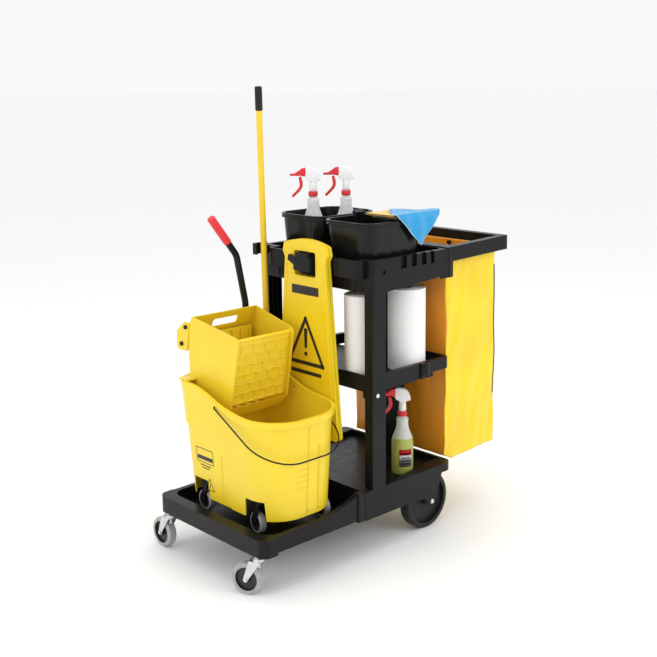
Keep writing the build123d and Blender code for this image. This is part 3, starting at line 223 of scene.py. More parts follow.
def brushed(name, color, roughness):
    """Zinc plated steel with fine drawn lines and slight blotches."""
    shader = Shader(name, color, roughness, Metallic=1.0)
    lines = shader.noise(260, 2, (1, 1, 0.06))
    blotch = shader.noise(22, 4)
    shader.color(shader.blend(shader.ramp(blotch, 0.3, 0.75), color, tuple(c * 0.82 for c in color)))
    shader.rough(lines, roughness - 0.06, roughness + 0.12)
    shader.soften_edges(0.6 * MM)
    shader.bump(lines, 0.12, 0.1 * MM)
    return shader.done()


def wheel_material(name, centre, axle, hub_radius, tyre, hub):
    """One wheel in two colours: tyre outside the hub's radius, hub inside it."""
    shader = Shader(name, tyre, 0.5)
    away = shader.new("VectorMath")
    away.operation = "SUBTRACT"
    shader.link(shader.place, away.inputs[0])
    away.inputs[1].default_value = centre
    lever = shader.new("VectorMath")
    lever.operation = "CROSS_PRODUCT"
    shader.link(away.outputs["Vector"], lever.inputs[0])
    lever.inputs[1].default_value = axle
    length = shader.new("VectorMath")
    length.operation = "LENGTH"
    shader.link(lever.outputs["Vector"], length.inputs[0])
    outside = shader.ramp(length.outputs["Value"], hub_radius - 0.3 * MM, hub_radius + 0.3 * MM)
    dust = shader.ramp(shader.noise(55, 5), 0.4, 0.75)
    worn_tyre = shader.blend(dust, tyre, tuple(c * 0.8 for c in tyre))
    shader.color(shader.blend(outside, hub, worn_tyre))
    shader.rough(shader.noise(70, 4), 0.34, 0.58)
    shader.soften_edges(0.8 * MM)
    shader.bump(shader.noise(420, 3), 0.15, 0.15 * MM)
    return shader.done()


# ------------------------------------------------------------------ colours
BLACK = (0.0060, 0.0060, 0.0066)
BLACK_TINT = (0.010, 0.0098, 0.0105)
YELLOW = (0.88, 0.66, 0.028)
YELLOW_TINT = (0.84, 0.60, 0.020)
RED = (0.72, 0.018, 0.026)
TYRE_GREY = (0.36, 0.37, 0.385)
HUB_BLACK = (0.014, 0.014, 0.015)

satin_black = moulded("satin_black", BLACK, 0.32, BLACK_TINT, Specular_IOR_Level=0.18)
gloss_black = moulded("gloss_black", (0.005, 0.005, 0.0055), 0.2, (0.009, 0.009, 0.009), grain_depth=0.05,
                      Specular_IOR_Level=0.24)
grip_black = moulded("grip_black", (0.009, 0.009, 0.010), 0.5, (0.015, 0.015, 0.015), grain=500,
                     Specular_IOR_Level=0.3)
bucket_yellow = moulded("bucket_yellow", YELLOW, 0.33, YELLOW_TINT, grain_depth=0.08)
sign_yellow = moulded("sign_yellow", (0.90, 0.66, 0.012), 0.36, (0.86, 0.61, 0.01), grain_depth=0.1)
pole_yellow = moulded("pole_yellow", (0.90, 0.62, 0.02), 0.3, (0.84, 0.55, 0.015), grain_depth=0.05)
gloss_red = moulded("gloss_red", RED, 0.25, (0.62, 0.012, 0.02), grain_depth=0.04, edge=0.8 * MM)
grip_red = moulded("grip_red", (0.78, 0.03, 0.045), 0.4, (0.66, 0.02, 0.035), grain=420, grain_depth=0.2)
head_white = moulded("head_white", (0.86, 0.87, 0.87), 0.3, (0.8, 0.81, 0.82), grain_depth=0.03,
                     edge=0.8 * MM)
print_black = moulded("print_black", (0.012, 0.010, 0.010), 0.45, (0.02, 0.017, 0.016), grain_depth=0.05)
zinc = brushed("zinc", (0.70, 0.71, 0.73), 0.34)
bright_steel = brushed("bright_steel", (0.82, 0.83, 0.85), 0.2)


def paper_material():
    """Kitchen paper: quilted dimples over a fibrous surface."""
    shader = Shader("paper_white", (0.90, 0.895, 0.885), 0.92, Sheen_Weight=0.15)
    fibres = shader.noise(600, 5)
    dimples = shader.cells(105, (1, 1, 1.35))
    shader.color(shader.blend(shader.ramp(fibres, 0.3, 0.7), (0.92, 0.915, 0.905), (0.85, 0.84, 0.825)))
    shader.bump(dimples, 0.22, 1.2 * MM)
    shader.bump(fibres, 0.3, 0.25 * MM)
    return shader.done()


def card_material():
    """Grey brown cardboard."""
    shader = Shader("core_card", (0.42, 0.33, 0.23), 0.85)
    speckle = shader.noise(480, 4)
    shader.color(shader.blend(speckle, (0.36, 0.28, 0.19), (0.5, 0.4, 0.29)))
    shader.bump(speckle, 0.25, 0.2 * MM)
    return shader.done()


def vinyl_material():
    """Coated yellow cloth: fine weave under the coating; the faces turned to the front get a painted shade in
    amber, for the shadow and yellow bounce light they sit in.
    """
    shader = Shader("bag_vinyl", (0.93, 0.66, 0.012), 0.3)
    face = shader.new("NewGeometry")
    split = shader.new("SeparateXYZ")
    shader.link(face.outputs["True Normal"], split.inputs["Vector"])
    # painted shade: faces turned to -X are tinted amber as if lying in shadow
    painted_shade_side = shader.ramp(split.outputs["X"], -0.35, -0.85)
    mottle = shader.ramp(shader.noise(5, 2), 0.3, 0.72)
    yellow = shader.blend(mottle, (0.92, 0.68, 0.012), (0.84, 0.57, 0.01))
    shade_amber = shader.blend(mottle, (0.88, 0.34, 0.020), (0.74, 0.26, 0.014))
    shader.color(shader.blend(painted_shade_side, yellow, shade_amber))
    shader.rough(shader.noise(30, 5), 0.22, 0.42)
    shader.bump(shader.noise(9, 2.5), 0.4, 8.0 * MM)
    shader.bump(shader.cells(1150), 0.18, 0.2 * MM)
    return shader.done()


def terry_material(name, color, tint, pile=950):
    """Microfibre: short looped pile, with painted shade in the valleys between the loops and a soft sheen."""
    shader = Shader(name, color, 0.95, Sheen_Weight=0.55, Sheen_Roughness=0.45)
    loops = shader.cells(pile)
    drift = shader.ramp(shader.noise(42, 5), 0.35, 0.7)
    base = shader.blend(drift, color, tint)
    # painted shade: the pile's valleys, where the bump is low, are darkened
    shader.color(shader.blend(shader.ramp(loops, 0.1, 0.75), tuple(c * 0.72 for c in tint), base))
    shader.bump(loops, 0.55, 0.7 * MM)
    return shader.done()


def bottle_material(name, level=None):
    """Frosted translucent bottle; below level the cleaner inside shows through its wall."""
    shader = Shader(name, (0.92, 0.94, 0.935), 0.34, Transmission_Weight=0.4, IOR=1.35)
    haze = shader.noise(60, 4)
    wall = shader.blend(shader.ramp(haze, 0.3, 0.75), (0.93, 0.95, 0.945), (0.84, 0.87, 0.865))
    if level is not None:
        split = shader.new("SeparateXYZ")
        shader.link(shader.place, split.inputs["Vector"])
        filled = shader.ramp(split.outputs["Z"], level + 1 * MM, level - 1 * MM)
        wall = shader.blend(filled, wall, (0.60, 0.66, 0.17))
    shader.color(wall)
    shader.rough(haze, 0.28, 0.44)
    shader.bump(shader.noise(500, 2), 0.05, 0.2 * MM)
    return shader.done()


def liquid_material():
    """Yellow green cleaner."""
    shader = Shader("cleaner", (0.62, 0.72, 0.05), 0.12, Transmission_Weight=0.2, IOR=1.33)
    swirl = shader.noise(16, 3)
    shader.color(shader.blend(swirl, (0.60, 0.68, 0.04), (0.70, 0.78, 0.08)))
    return shader.done()


paper_white = paper_material()
core_card = card_material()
bag_vinyl = vinyl_material()
blue_terry = terry_material("blue_terry", (0.020, 0.42, 0.78), (0.012, 0.30, 0.66))
yellow_terry = terry_material("yellow_terry", (0.92, 0.64, 0.07), (0.85, 0.52, 0.05))
red_terry = terry_material("red_terry", (0.78, 0.09, 0.12), (0.62, 0.05, 0.09))
green_terry = terry_material("green_terry", (0.10, 0.52, 0.20), (0.06, 0.40, 0.14))
hem_white = terry_material("hem_white", (0.80, 0.88, 0.94), (0.68, 0.80, 0.90), pile=1500)
frosted = bottle_material("frosted_bottle")
LIQUID_HEIGHT = 128
frosted_filled = bottle_material("frosted_filled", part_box("deck_bottle")[0].z + LIQUID_HEIGHT * MM)
cleaner = liquid_material()


# ------------------------------------------------------------------ mesh helpers
def new_piece(name, vertices, faces, material, body, slot, smooth=True):
    """A mesh object in the row frame, riding on a body."""
    mesh = bpy.data.meshes.new(name)
    mesh.from_pydata([tuple(v) for v in vertices], [], faces)
    mesh.materials.append(material)
    mesh.validate()
    for polygon in mesh.polygons:
        polygon.use_smooth = smooth
    piece = bpy.data.objects.new(name, mesh)
    bpy.context.scene.collection.objects.link(piece)
    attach(piece, body)
    return piece


def outward(piece):
    """Face normals all point out of a closed piece."""
    work = bmesh.new()
    work.from_mesh(piece.data)
    bmesh.ops.recalc_face_normals(work, faces=work.faces)
    work.to_mesh(piece.data)
    work.free()
    return piece


def rounded(piece, width, segments=3, angle=35):
    """Rounds a piece's hard edges with a bevel."""
    modifier = piece.modifiers.new("round", "BEVEL")
    modifier.width = width
    modifier.segments = segments
    modifier.limit_method = "ANGLE"
    modifier.angle_limit = radians(angle)
    modifier.harden_normals = False
    return piece


def thick(piece, amount):
    """Gives a surface a thickness, inward."""
    modifier = piece.modifiers.new("thick", "SOLIDIFY")
    modifier.thickness = amount
    modifier.offset = -1
    return piece


def plate(name, outline, frame_at, low, high, *rest):
    """A flat outline extruded from low to high along the frame's third direction."""
    origin, first, second, third = frame_at
    vertices = [origin + first * u + second * v + third * w for w in (low, high) for u, v in outline]
    count = len(outline)
    faces = [list(range(count))[::-1], list(range(count, 2 * count))]
    for i in range(count):
        j = (i + 1) % count
        faces.append([i, j, count + j, count + i])
    return outward(new_piece(name, vertices, faces, *rest))


def revolved(name, profile, centre, *rest, turns=48, span=2 * pi, start=0.0, ribs=0, rib_depth=0.0):
    """A profile of (radius, height) points turned about the vertical through centre."""
    whole = abs(span - 2 * pi) < 1e-6
    columns = turns if whole else turns + 1
    vertices = []
    for i in range(columns):
        angle = start + span * i / turns
        dent = rib_depth * (0.5 - 0.5 * cos(ribs * angle)) if ribs else 0.0
        for radius, height in profile:
            reach = max(radius - (dent if radius > rib_depth * 4 else 0.0), 0.0)
            vertices.append(centre + Vector((reach * cos(angle), reach * sin(angle), height)))
    rows = len(profile)
    faces = []
    for i in range(turns):
        j = (i + 1) % columns
        for k in range(rows - 1):
            faces.append([i * rows + k, j * rows + k, j * rows + k + 1, i * rows + k + 1])
    piece = new_piece(name, vertices, faces, *rest)
    work = bmesh.new()
    work.from_mesh(piece.data)
    bmesh.ops.remove_doubles(work, verts=work.verts, dist=1e-6)
    bmesh.ops.recalc_face_normals(work, faces=work.faces)
    work.to_mesh(piece.data)
    work.free()
    return piece


def swept(name, points, radius, closed, *rest, sides=12):
    """A round bead along a list of points."""
    count = len(points)
    vertices = []
    for i, point in enumerate(points):
        before = points[(i - 1) % count] if closed or i else point
        after = points[(i + 1) % count] if closed or i < count - 1 else point
        along = (after - before).normalized()
        side = along.cross(UP).normalized() if abs(along.z) < 0.99 else Vector((1, 0, 0))
        lift = side.cross(along)
        for k in range(sides):
            angle = 2 * pi * k / sides
            vertices.append(point + (side * cos(angle) + lift * sin(angle)) * radius)
    faces = []
    for i in range(count if closed else count - 1):
        j = (i + 1) % count
        for k in range(sides):
            n = (k + 1) % sides
            faces.append([i * sides + k, i * sides + n, j * sides + n, j * sides + k])
    if not closed:
        faces.append(list(range(sides))[::-1])
        faces.append(list(range((count - 1) * sides, count * sides)))
    return outward(new_piece(name, vertices, faces, *rest))


def grid_piece(name, point, columns, rows, *rest):
    """A sheet whose corners come from point(u, v), with u and v from 0 to 1."""
    vertices = [point(i / columns, j / rows) for j in range(rows + 1) for i in range(columns + 1)]
    wide = columns + 1
    faces = [[j * wide + i, j * wide + i + 1, (j + 1) * wide + i + 1, (j + 1) * wide + i]
             for j in range(rows) for i in range(columns)]
    return new_piece(name, vertices, faces, *rest)


def rounded_rectangle(centre, half_x, half_y, corner, height, per_corner=10):
    """Points round a horizontal rounded rectangle."""
    points = []
    for quarter in range(4):
        sign_x = 1 if quarter in (0, 3) else -1
        sign_y = 1 if quarter in (0, 1) else -1
        for step in range(per_corner + 1):
            angle = pi / 2 * (quarter + step / per_corner)
            points.append(Vector((
                centre[0] + sign_x * (half_x - corner) + corner * cos(angle),
                centre[1] + sign_y * (half_y - corner) + corner * sin(angle),
                height)))
    return points


def surface_of(names):
    """The surface of some CAD nodes, for laying thin prints on it."""
    corners, triangles = [], []
    for name in names:
        mesh = nodes[name].data
        mesh.calc_loop_triangles()
        first = len(corners)
        corners += [v.co.copy() for v in mesh.vertices]
        triangles += [tuple(first + index for index in t.vertices) for t in mesh.loop_triangles]
    return BVHTree.FromPolygons(corners, triangles)


def print_on(name, under, outline, place, across, upward, view, material, body, slot, step=4 * MM,
             lift=0.25 * MM):
    """A thin print on a CAD surface: a flat outline, cut fine, thrown along view onto it."""
    skin = surface_of(under)
    work = bmesh.new()
    corners = [work.verts.new((u, v, 0)) for u, v in outline]
    work.faces.new(corners)
    bmesh.ops.triangulate(work, faces=work.faces)
    for _ in range(3):
        long_edges = [e for e in work.edges if e.calc_length() > step]
        if long_edges:
            bmesh.ops.subdivide_edges(work, edges=long_edges, cuts=1)
            bmesh.ops.triangulate(work, faces=work.faces)
    stand_off = view * 0.3
    for vertex in work.verts:
        start = place + across * vertex.co.x + upward * vertex.co.y - stand_off
        hit = skin.ray_cast(start, view)[0]
        if hit is None:
            hit = start + stand_off
        vertex.co = hit - view * lift
    mesh = bpy.data.meshes.new(name)
    work.to_mesh(mesh)
    work.free()
    mesh.materials.append(material)
    piece = bpy.data.objects.new(name, mesh)
    bpy.context.scene.collection.objects.link(piece)
    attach(piece, body)
    return piece


# ------------------------------------------------------------------ CAD nodes that stay
def dress(names, material):
    """Gives CAD nodes their material and smooth shading with crisp corners."""
    for name in names:
        mesh = nodes[name].data
        mesh.materials.clear()
        mesh.materials.append(material)
        mesh.shade_smooth()
        mesh.set_sharp_from_angle(angle=radians(32))


CART_FRAME = ("front_platform", "rear_deck", "near_post", "far_post", "rear_column", "middle_shelf",
              "top_tray", "near_tray_wall", "far_tray_wall", "bag_frame", "bag_pegs", "mop_holder",
              "sign_hook")
dress(CART_FRAME, satin_black)
dress(("near_pail", "far_pail"), gloss_black)
dress(("near_rear_wheel", "far_rear_wheel", "mop_grip"), grip_black)
dress([f"bucket_fork_{i}" for i in range(1, 5)], satin_black)
dress(("bucket_bail", "wringer_pins", "wringer_lever"), gloss_black)
dress(("bucket_shell", "bucket_base", "wringer_basket", "wringer_front", "press_plate"), bucket_yellow)
dress(("sign_front_leaf", "sign_rear_leaf"), sign_yellow)
dress(("mop_handle",), pole_yellow)
dress(("lever_grip",), grip_red)
dress(("near_caster_fork", "far_caster_fork", "caster_plates", "rear_axle"), zinc)
dress(("axle_nuts", "post_bolts"), bright_steel)
dress(("near_paper_roll", "front_paper_roll"), paper_white)


CASTER_HUB_R = 37.5 * MM
BUCKET_HUB_R = 26.5 * MM


def dress_wheels():
    """Grey tyres on black hubs, each centred on its own roll joint."""
    for joint in frame["joints"]:
        if not joint["name"].endswith("_roll") or joint["child"] in ("near_wheel", "far_wheel"):
            continue
        node = frame["record"]["behaviour"]["bodies"][joint["child"]][0]
        hub = BUCKET_HUB_R if "bucket" in node else CASTER_HUB_R
        dress((node,), wheel_material(node + "_rubber", joint["pos_m"], joint["axis"], hub,
                                      TYRE_GREY, HUB_BLACK))


dress_wheels()


# ------------------------------------------------------------------ waste bag
BAG_LOW, BAG_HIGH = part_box("waste_bag")
BAG_TOP = BAG_HIGH.z - 3 * MM
BAG_COLUMNS = 264
BAG_ROWS = 110
BAG_HALF_WIDTH = 0.2405
MOUTH_SET_BACK = 0.0265
FAR_SIDE_TAPER = 0.036


def bag_outline(height):
    """The bag's front, rear, near half width and far half width at a height."""
    drop = (BAG_TOP - height) / (BAG_TOP - BAG_LOW.z)
    # its mouth is set back behind the frame's front bar, its body bellies forward under it
    step = min(max((drop - 0.045) / 0.05, 0.0), 1.0)
    front = BAG_LOW.x + 3 * MM + MOUTH_SET_BACK * (1 - step) + 0.004 * drop
    rear = BAG_HIGH.x - 12 * MM + 0.009 * drop
    near = BAG_HALF_WIDTH + 0.0035 * sin(pi * drop)
    far = near - FAR_SIDE_TAPER * min(max((drop - 0.3) / 0.5, 0.0), 1.0)
    return front, rear, near, far


def bag_bottom(along):
    """Height of the bag's lower edge, from the front wall (0) to the rear wall (1)."""
    return BAG_LOW.z + 2 * MM + 0.016 * (1 - min(along / 0.14, 1.0)) + 0.014 * max(along - 0.14, 0.0)


def bag_point(u, v):
    """A point on the hanging bag: u runs round it, v from the top down to the hem."""
    front0, rear0, near0, far0 = bag_outline(BAG_TOP)
    length, width = rear0 - front0, near0 + far0
    walk = u * 2 * (length + width)
    if walk < length:
        side, share = 0, walk / length
    elif walk < length + width:
        side, share = 1, (walk - length) / width
    elif walk < 2 * length + width:
        side, share = 2, 1 - (walk - length - width) / length
    else:
        side, share = 3, 1 - (walk - 2 * length - width) / width
    along = share if side in (0, 2) else (1.0 if side == 1 else 0.0)
    height = BAG_TOP + (bag_bottom(along) - BAG_TOP) * v
    front, rear, near, far = bag_outline(height)
    belly = sin(pi * min(max(v, 0.0), 1.0)) * sin(pi * share)
    crease = noise.noise(Vector((share * 5.0 + side * 9, v * 4.2 + share * 2.6, side * 3.1)))
    fine = noise.noise(Vector((share * 15.0 + side * 4, v * 11.0 - share * 6.0, side)))
    fold = abs(noise.noise(Vector((share * 3.2 + v * 3.4, v * 1.3 - share * 2.0, side * 5.7))))
    hold = min(v * 7.0, 1.0)
    ripple = hold * (0.0080 * crease + 0.0014 * fine - 0.012 * max(0.12 - fold, 0.0))
    if side == 0:
        return Vector((front + (rear - front) * share, -near - 0.004 * belly - ripple, height))
    if side == 2:
        return Vector((front + (rear - front) * share, far + 0.004 * belly + ripple, height))
    y = -near + (near + far) * share
    if side == 1:
        return Vector((rear + 0.004 * belly + ripple, y, height))
    return Vector((front + max(ripple, 0.0) + 0.003 * belly, y, height))


def make_bag():
    """The bag as one hung shell, with a floor that lifts a little in the middle."""
    vertices = [bag_point(i / BAG_COLUMNS, j / BAG_ROWS)
                for j in range(BAG_ROWS + 1) for i in range(BAG_COLUMNS)]
    faces = []
    for j in range(BAG_ROWS):
        for i in range(BAG_COLUMNS):
            n = (i + 1) % BAG_COLUMNS
            faces.append([j * BAG_COLUMNS + i, j * BAG_COLUMNS + n,
                          (j + 1) * BAG_COLUMNS + n, (j + 1) * BAG_COLUMNS + i])
    # floor: rings that shrink to the middle and lift a little
    last = BAG_ROWS * BAG_COLUMNS
    rim = vertices[last:last + BAG_COLUMNS]
    middle = sum(rim, Vector()) / BAG_COLUMNS
    rings = 14
    for ring in range(1, rings + 1):
        share = ring / rings
        start = len(vertices)
        for i, point in enumerate(rim):
            inner = point.lerp(middle, share * 0.985)
            inner.z = point.z + (middle.z - point.z) * share + 0.012 * sin(pi * share / 2)
            vertices.append(inner)
        for i in range(BAG_COLUMNS):
            n = (i + 1) % BAG_COLUMNS
            faces.append([start - BAG_COLUMNS + i, start - BAG_COLUMNS + n, start + n, start + i])
    faces.append(list(range(len(vertices) - BAG_COLUMNS, len(vertices))))
    bag = new_piece("hanging_bag", vertices, faces, bag_vinyl, "root", "yellow_vinyl")
    outward(bag)
    thick(bag, 0.9 * MM)
    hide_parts("waste_bag")
    return bag


PEG_X = 0.412
PEG_WALL_Y = 0.2375
SIDE_PEG_Z = 0.946
REAR_PEG_PLACE = Vector((0.5415, -0.029, 0.951))


def make_bag_trim():
    """Zip along the rear near corner and an eyelet round each peg."""
    front, rear, near, far = bag_outline(BAG_TOP)
    zip_points = [bag_point((rear - front) / (2 * (rear - front + near + far)) - 0.0035, v / 40)
                  + Vector((1.2, -1.2, 0)) * MM for v in range(4, 31)]
    swept("bag_zip", zip_points, 1.7 * MM, False, print_black, "root", "yellow_vinyl", sides=8)
    outline = [(7.5 * MM * sin(2 * pi * k / 28) * (1 - 0.25 * cos(2 * pi * k / 28)),
                -10.5 * MM * cos(2 * pi * k / 28)) for k in range(28)]
    along_x, along_y = Vector((1, 0, 0)), Vector((0, 1, 0))
    places = {
        "near": (Vector((PEG_X, -PEG_WALL_Y, SIDE_PEG_Z)), along_x, UP, along_y),
        "far": (Vector((PEG_X, PEG_WALL_Y, SIDE_PEG_Z)), along_x, UP, -along_y),
        "rear": (REAR_PEG_PLACE, along_y, UP, -along_x),
    }
    for name, at in places.items():
        plate(f"bag_eyelet_{name}", outline, at, 0.0, 1.0 * MM, print_black, "root", "yellow_vinyl")


# ------------------------------------------------------------------ cloths
STACK_LOW, STACK_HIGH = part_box("cloth_stack")
RIM_Z = STACK_LOW.z
STACK_OUT_FRONT = 0.044
STACK_OUT_REAR = 0.036


def folded_cloth(name, material, x_range, y_range, floor_z, layers, gap, seed):
    """One cloth folded back and forth, with soft rounded folds and uneven edges."""
    (x0, x1), (y0, y1) = x_range, y_range
    run = x1 - x0
    turn = pi * gap / 2
    total = layers * run + (layers - 1) * turn

    def point(u, v):
        walk = u * total
        level = min(int(walk / (run + turn)), layers - 1)
        rest = walk - level * (run + turn)
        forward = level % 2 == 0
        if rest <= run:
            x = x0 + rest if forward else x1 - rest
            z = floor_z + level * gap
        else:
            angle = (rest - run) / turn * pi
            bulge = gap / 2 * sin(angle)
            x = x1 + bulge if forward else x0 - bulge
            z = floor_z + level * gap + gap / 2 * (1 - cos(angle))
        ripple = 0.0011 * noise.noise(Vector((x * 30 + seed, v * 5, level)))
        edge = 0.0025 * noise.noise(Vector((x * 14, seed + level * 3.3, 0)))
        return Vector((x, y0 + (y1 - y0) * v + edge, z + max(ripple, -0.0004)))

    piece = grid_piece(name, point, 40 * layers, 44, material, "near_pail_body", "cloth_yellow")
    thick(piece, 1.3 * MM)
    return piece


def make_stack():
    """Folded cloths lying across the near pail's rim, each showing a coloured edge."""
    x0, x1 = STACK_LOW.x - STACK_OUT_FRONT, STACK_HIGH.x + STACK_OUT_REAR
    lower = folded_cloth("folded_green", green_terry, (x0 + 0.022, x1 - 0.016), (-0.240, -0.118),
                         RIM_Z + 2.0 * MM, 2, 2.6 * MM, 1.0)
    folded_cloth("folded_red", red_terry, (x0 + 0.011, x1 - 0.008), (-0.238, -0.114),
                 RIM_Z + 6.8 * MM, 2, 2.6 * MM, 4.0)
    folded_cloth("folded_yellow", yellow_terry, (x0, x1), (-0.236, -0.108),
                 RIM_Z + 11.6 * MM, 2, 3.0 * MM, 7.0)
    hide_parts("cloth_stack")


CLOTH_TIP_X = 0.122
CLOTH_EDGE_Y = -0.2545
CLOTH_HANG = 0.110


def blue_point(u, v):
    """The blue cloth: a square laid cornerwise, with one corner hanging over the pail's rim."""
    side = 0.172
    s = (u - v) * side / sqrt(2)
    t = (u + v - 1) * side / sqrt(2)
    drop = CLOTH_HANG - (side / sqrt(2) - t)
    x = CLOTH_TIP_X + s * 0.96
    top = STACK_HIGH.z + 3.2 * MM
    wave = noise.noise(Vector((x * 26, t * 22, 3.3)))
    if drop > 0:
        bend = min(drop / 0.012, 1.0)
        pleat = sin(x * 95) * min(drop / 0.03, 1.0)
        y = CLOTH_EDGE_Y - 0.007 * bend - 0.005 * (drop / CLOTH_HANG) + 0.0016 * wave + 0.0022 * pleat
        z = top - 0.004 * bend - drop * 0.93
        return Vector((x, y, z))
    lie = -drop
    y = CLOTH_EDGE_Y + 0.001 + lie
    z = top + 0.0028 * wave * min(lie / 0.02, 1.0) + 0.0016 * sin(x * 85 + lie * 40) * min(lie / 0.03, 1)
    return Vector((x, y, z))


def make_blue_cloth():
    """The draped cloth and the pale overlocked edge round it."""
    cloth = grid_piece("blue_cloth_drape", blue_point, 78, 78, blue_terry, "near_pail_body", "cloth_blue")
    thick(cloth, 1.2 * MM)
    count = 60
    edge = [blue_point(1.0, k / count) for k in range(count)]
    edge += [blue_point(1.0 - k / count, 1.0) for k in range(count + 1)]
    hem = swept("blue_cloth_hem", edge, 1.2 * MM, False, hem_white, "near_pail_body", "cloth_blue", sides=8)
    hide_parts("blue_cloth")


# ------------------------------------------------------------------ pails
def make_pail_trim(node, body):
    """Rolled rim and a thin bead below it on a pail."""
    low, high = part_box(node)
    centre = ((low.x + high.x) / 2, (low.y + high.y) / 2)
    rim_z = high.z - 10 * MM
    half_x, half_y = (high.x - low.x) / 2, (high.y - low.y) / 2
    for name, drop, shrink, radius in (("rim", 2.6, 2.4, 3.4), ("bead", 13.0, 1.0, 1.8)):
        path = rounded_rectangle(centre, half_x - shrink * MM, half_y - shrink * MM, 0.056,
                                 rim_z - drop * MM)
        swept(f"{node}_{name}", path, radius * MM, True, gloss_black, body, "black_plastic")


# ------------------------------------------------------------------ spray bottles
SPRAY_HEADING = radians(136.5)
AIM = Vector((cos(SPRAY_HEADING), sin(SPRAY_HEADING), 0))
ACROSS = Vector((AIM.y, -AIM.x, 0))
BOTTLE_PROFILE = ((0, 0), (33, 0), (36.5, 1.5), (37.6, 5), (37.6, 112), (36.6, 121), (33, 132), (27.5, 145),
                  (23, 158), (20.4, 170), (19.6, 180), (20.6, 188), (21.2, 193), (19, 197), (13, 199),
                  (13, 205), (0, 205))
HEAD_OUTLINE = ((26, 303), (10, 304.5), (-6, 301), (-17, 293), (-24, 281), (-28, 264), (-26, 259),
                (-17, 258.5), (-11, 255), (-9, 250), (9, 250), (11, 257), (22, 262), (27, 270))
SHROUD_OUTLINE = ((24, 303.5), (38, 301), (47, 294), (58, 287), (63, 283.5), (79, 283), (80, 275.5),
                  (63, 275.5), (54, 275), (44, 276), (27, 272), (22.5, 285))
TRIGGER_LINE = ((45, 272), (43, 262), (40.5, 250), (41, 240), (46, 230), (54, 221), (63, 212), (72, 203.5))


def scaled(points):
    return [(a * MM, b * MM) for a, b in points]


def trigger_outline():
    """The trigger's side view: a curved line with a thickness that tapers to the tip."""
    line = [Vector(p) for p in TRIGGER_LINE]
    ahead, behind = [], []
    for i, point in enumerate(line):
        direction = (line[min(i + 1, len(line) - 1)] - line[max(i - 1, 0)]).normalized()
        across = Vector((-direction.y, direction.x))
        half = min(4.4 + i, 6.4 - 2.2 * i / (len(line) - 1))
        ahead.append(point + across * half)
        behind.append(point - across * half)
    return [tuple(p * MM) for p in ahead + behind[::-1]]


def make_bottle(name, filled):
    """Bottle, collar, head, nozzle shroud and trigger, standing where the CAD has them."""
    low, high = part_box(name)
    centre = Vector(((low.x + high.x) / 2, (low.y + high.y) / 2, low.z))
    body, lever = name + "_body", name + "_lever"
    side_view = (centre, AIM, UP, ACROSS)
    shell = revolved(name + "_shell", scaled(BOTTLE_PROFILE), centre, frosted_filled if filled else frosted,
                     body, "bottle_plastic", turns=64)
    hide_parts(name)
    if filled:
        level = ((0, 2.5), (34.5, 2.5), (36.2, 6), (36.2, 112), (35.4, 120), (33, LIQUID_HEIGHT),
                 (0, LIQUID_HEIGHT))
        revolved(name + "_liquid", scaled(level), centre, cleaner, body, "bottle_plastic", turns=48)
        for number, (bottom, top, material) in enumerate(((30, 92, head_white), (72, 92, gloss_red),
                                                          (60, 64, print_black), (50, 54, print_black),
                                                          (40, 44, print_black)), start=1):
            reach = 38.0 + 0.12 * number
            span = 1.25 if number < 3 else 0.85
            band = revolved(f"{name}_label_{number}", scaled(((reach, bottom), (reach, top))), centre,
                            material, body, "bottle_plastic", turns=20, span=span,
                            start=radians(-118) - span / 2)
            thick(band, 0.1 * MM)
    collar = ((0, 204.5), (15.6, 204.5), (16.2, 206), (16.2, 219), (15.2, 221.5), (0, 221.5))
    revolved(name + "_collar", scaled(collar), centre, gloss_red, body, "red_plastic", turns=144, ribs=24,
             rib_depth=0.9 * MM)
    neck = ((0, 221), (12.6, 221), (12.8, 232), (12.2, 246), (11, 254), (0, 254))
    revolved(name + "_neck", scaled(neck), centre, head_white, body, "white_plastic")
    head = plate(name + "_head", scaled(HEAD_OUTLINE), side_view, -10.5 * MM, 10.5 * MM, head_white, body,
                 "white_plastic")
    rounded(head, 5.0 * MM, 4)
    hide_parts(name + "_sprayer")
    shroud = plate(name + "_shroud", scaled(SHROUD_OUTLINE), side_view, -10.8 * MM, 10.8 * MM, gloss_red,
                   body, "red_plastic")
    rounded(shroud, 3.2 * MM, 3)
    trigger = plate(name + "_lever_arm", trigger_outline(), side_view, -7 * MM, 7 * MM, gloss_red, lever,
                    "red_plastic")
    rounded(trigger, 2.2 * MM, 3)
    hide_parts(name + "_trigger")


# ------------------------------------------------------------------ paper rolls
def make_roll_detail(node, body):
    """Card core and wound layers on the top."""
    low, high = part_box(node)
    centre = Vector(((low.x + high.x) / 2, (low.y + high.y) / 2, 0))
    bottom, top = low.z, high.z
    core = ((20.0 * MM, bottom + 1 * MM), (20.0 * MM, top + 0.4 * MM), (18.6 * MM, top + 0.4 * MM),
            (18.6 * MM, bottom + 1 * MM), (20.0 * MM, bottom + 1 * MM))
    revolved(node + "_core", core, centre, core_card, body, "paper")
    turns, per_turn = 15, 48
    first_radius, wound_depth = 0.0225, 0.0405
    line = []
    for k in range(turns * per_turn):
        angle = 2 * pi * k / per_turn
        radius = first_radius + wound_depth * k / (turns * per_turn)
        line.append(centre + Vector((radius * cos(angle), radius * sin(angle), top + 0.1 * MM)))
    swept(node + "_winding", line, 0.45 * MM, False, paper_white, body, "paper", sides=6)


# ------------------------------------------------------------------ floor sign graphics
SIGN_LOW, SIGN_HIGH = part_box("sign_front_leaf")
SIGN_MID = (SIGN_LOW.y + SIGN_HIGH.y) / 2


def bar(centre_u, centre_v, length, height, lean=0.0):
    """A plain bar, turned by lean."""
    turn = Matrix.Rotation(lean, 2)
    corners = ((-length, -height), (length, -height), (length, height), (-length, height))
    return [tuple(turn @ Vector((u / 2, v / 2)) + Vector((centre_u, centre_v))) for u, v in corners]


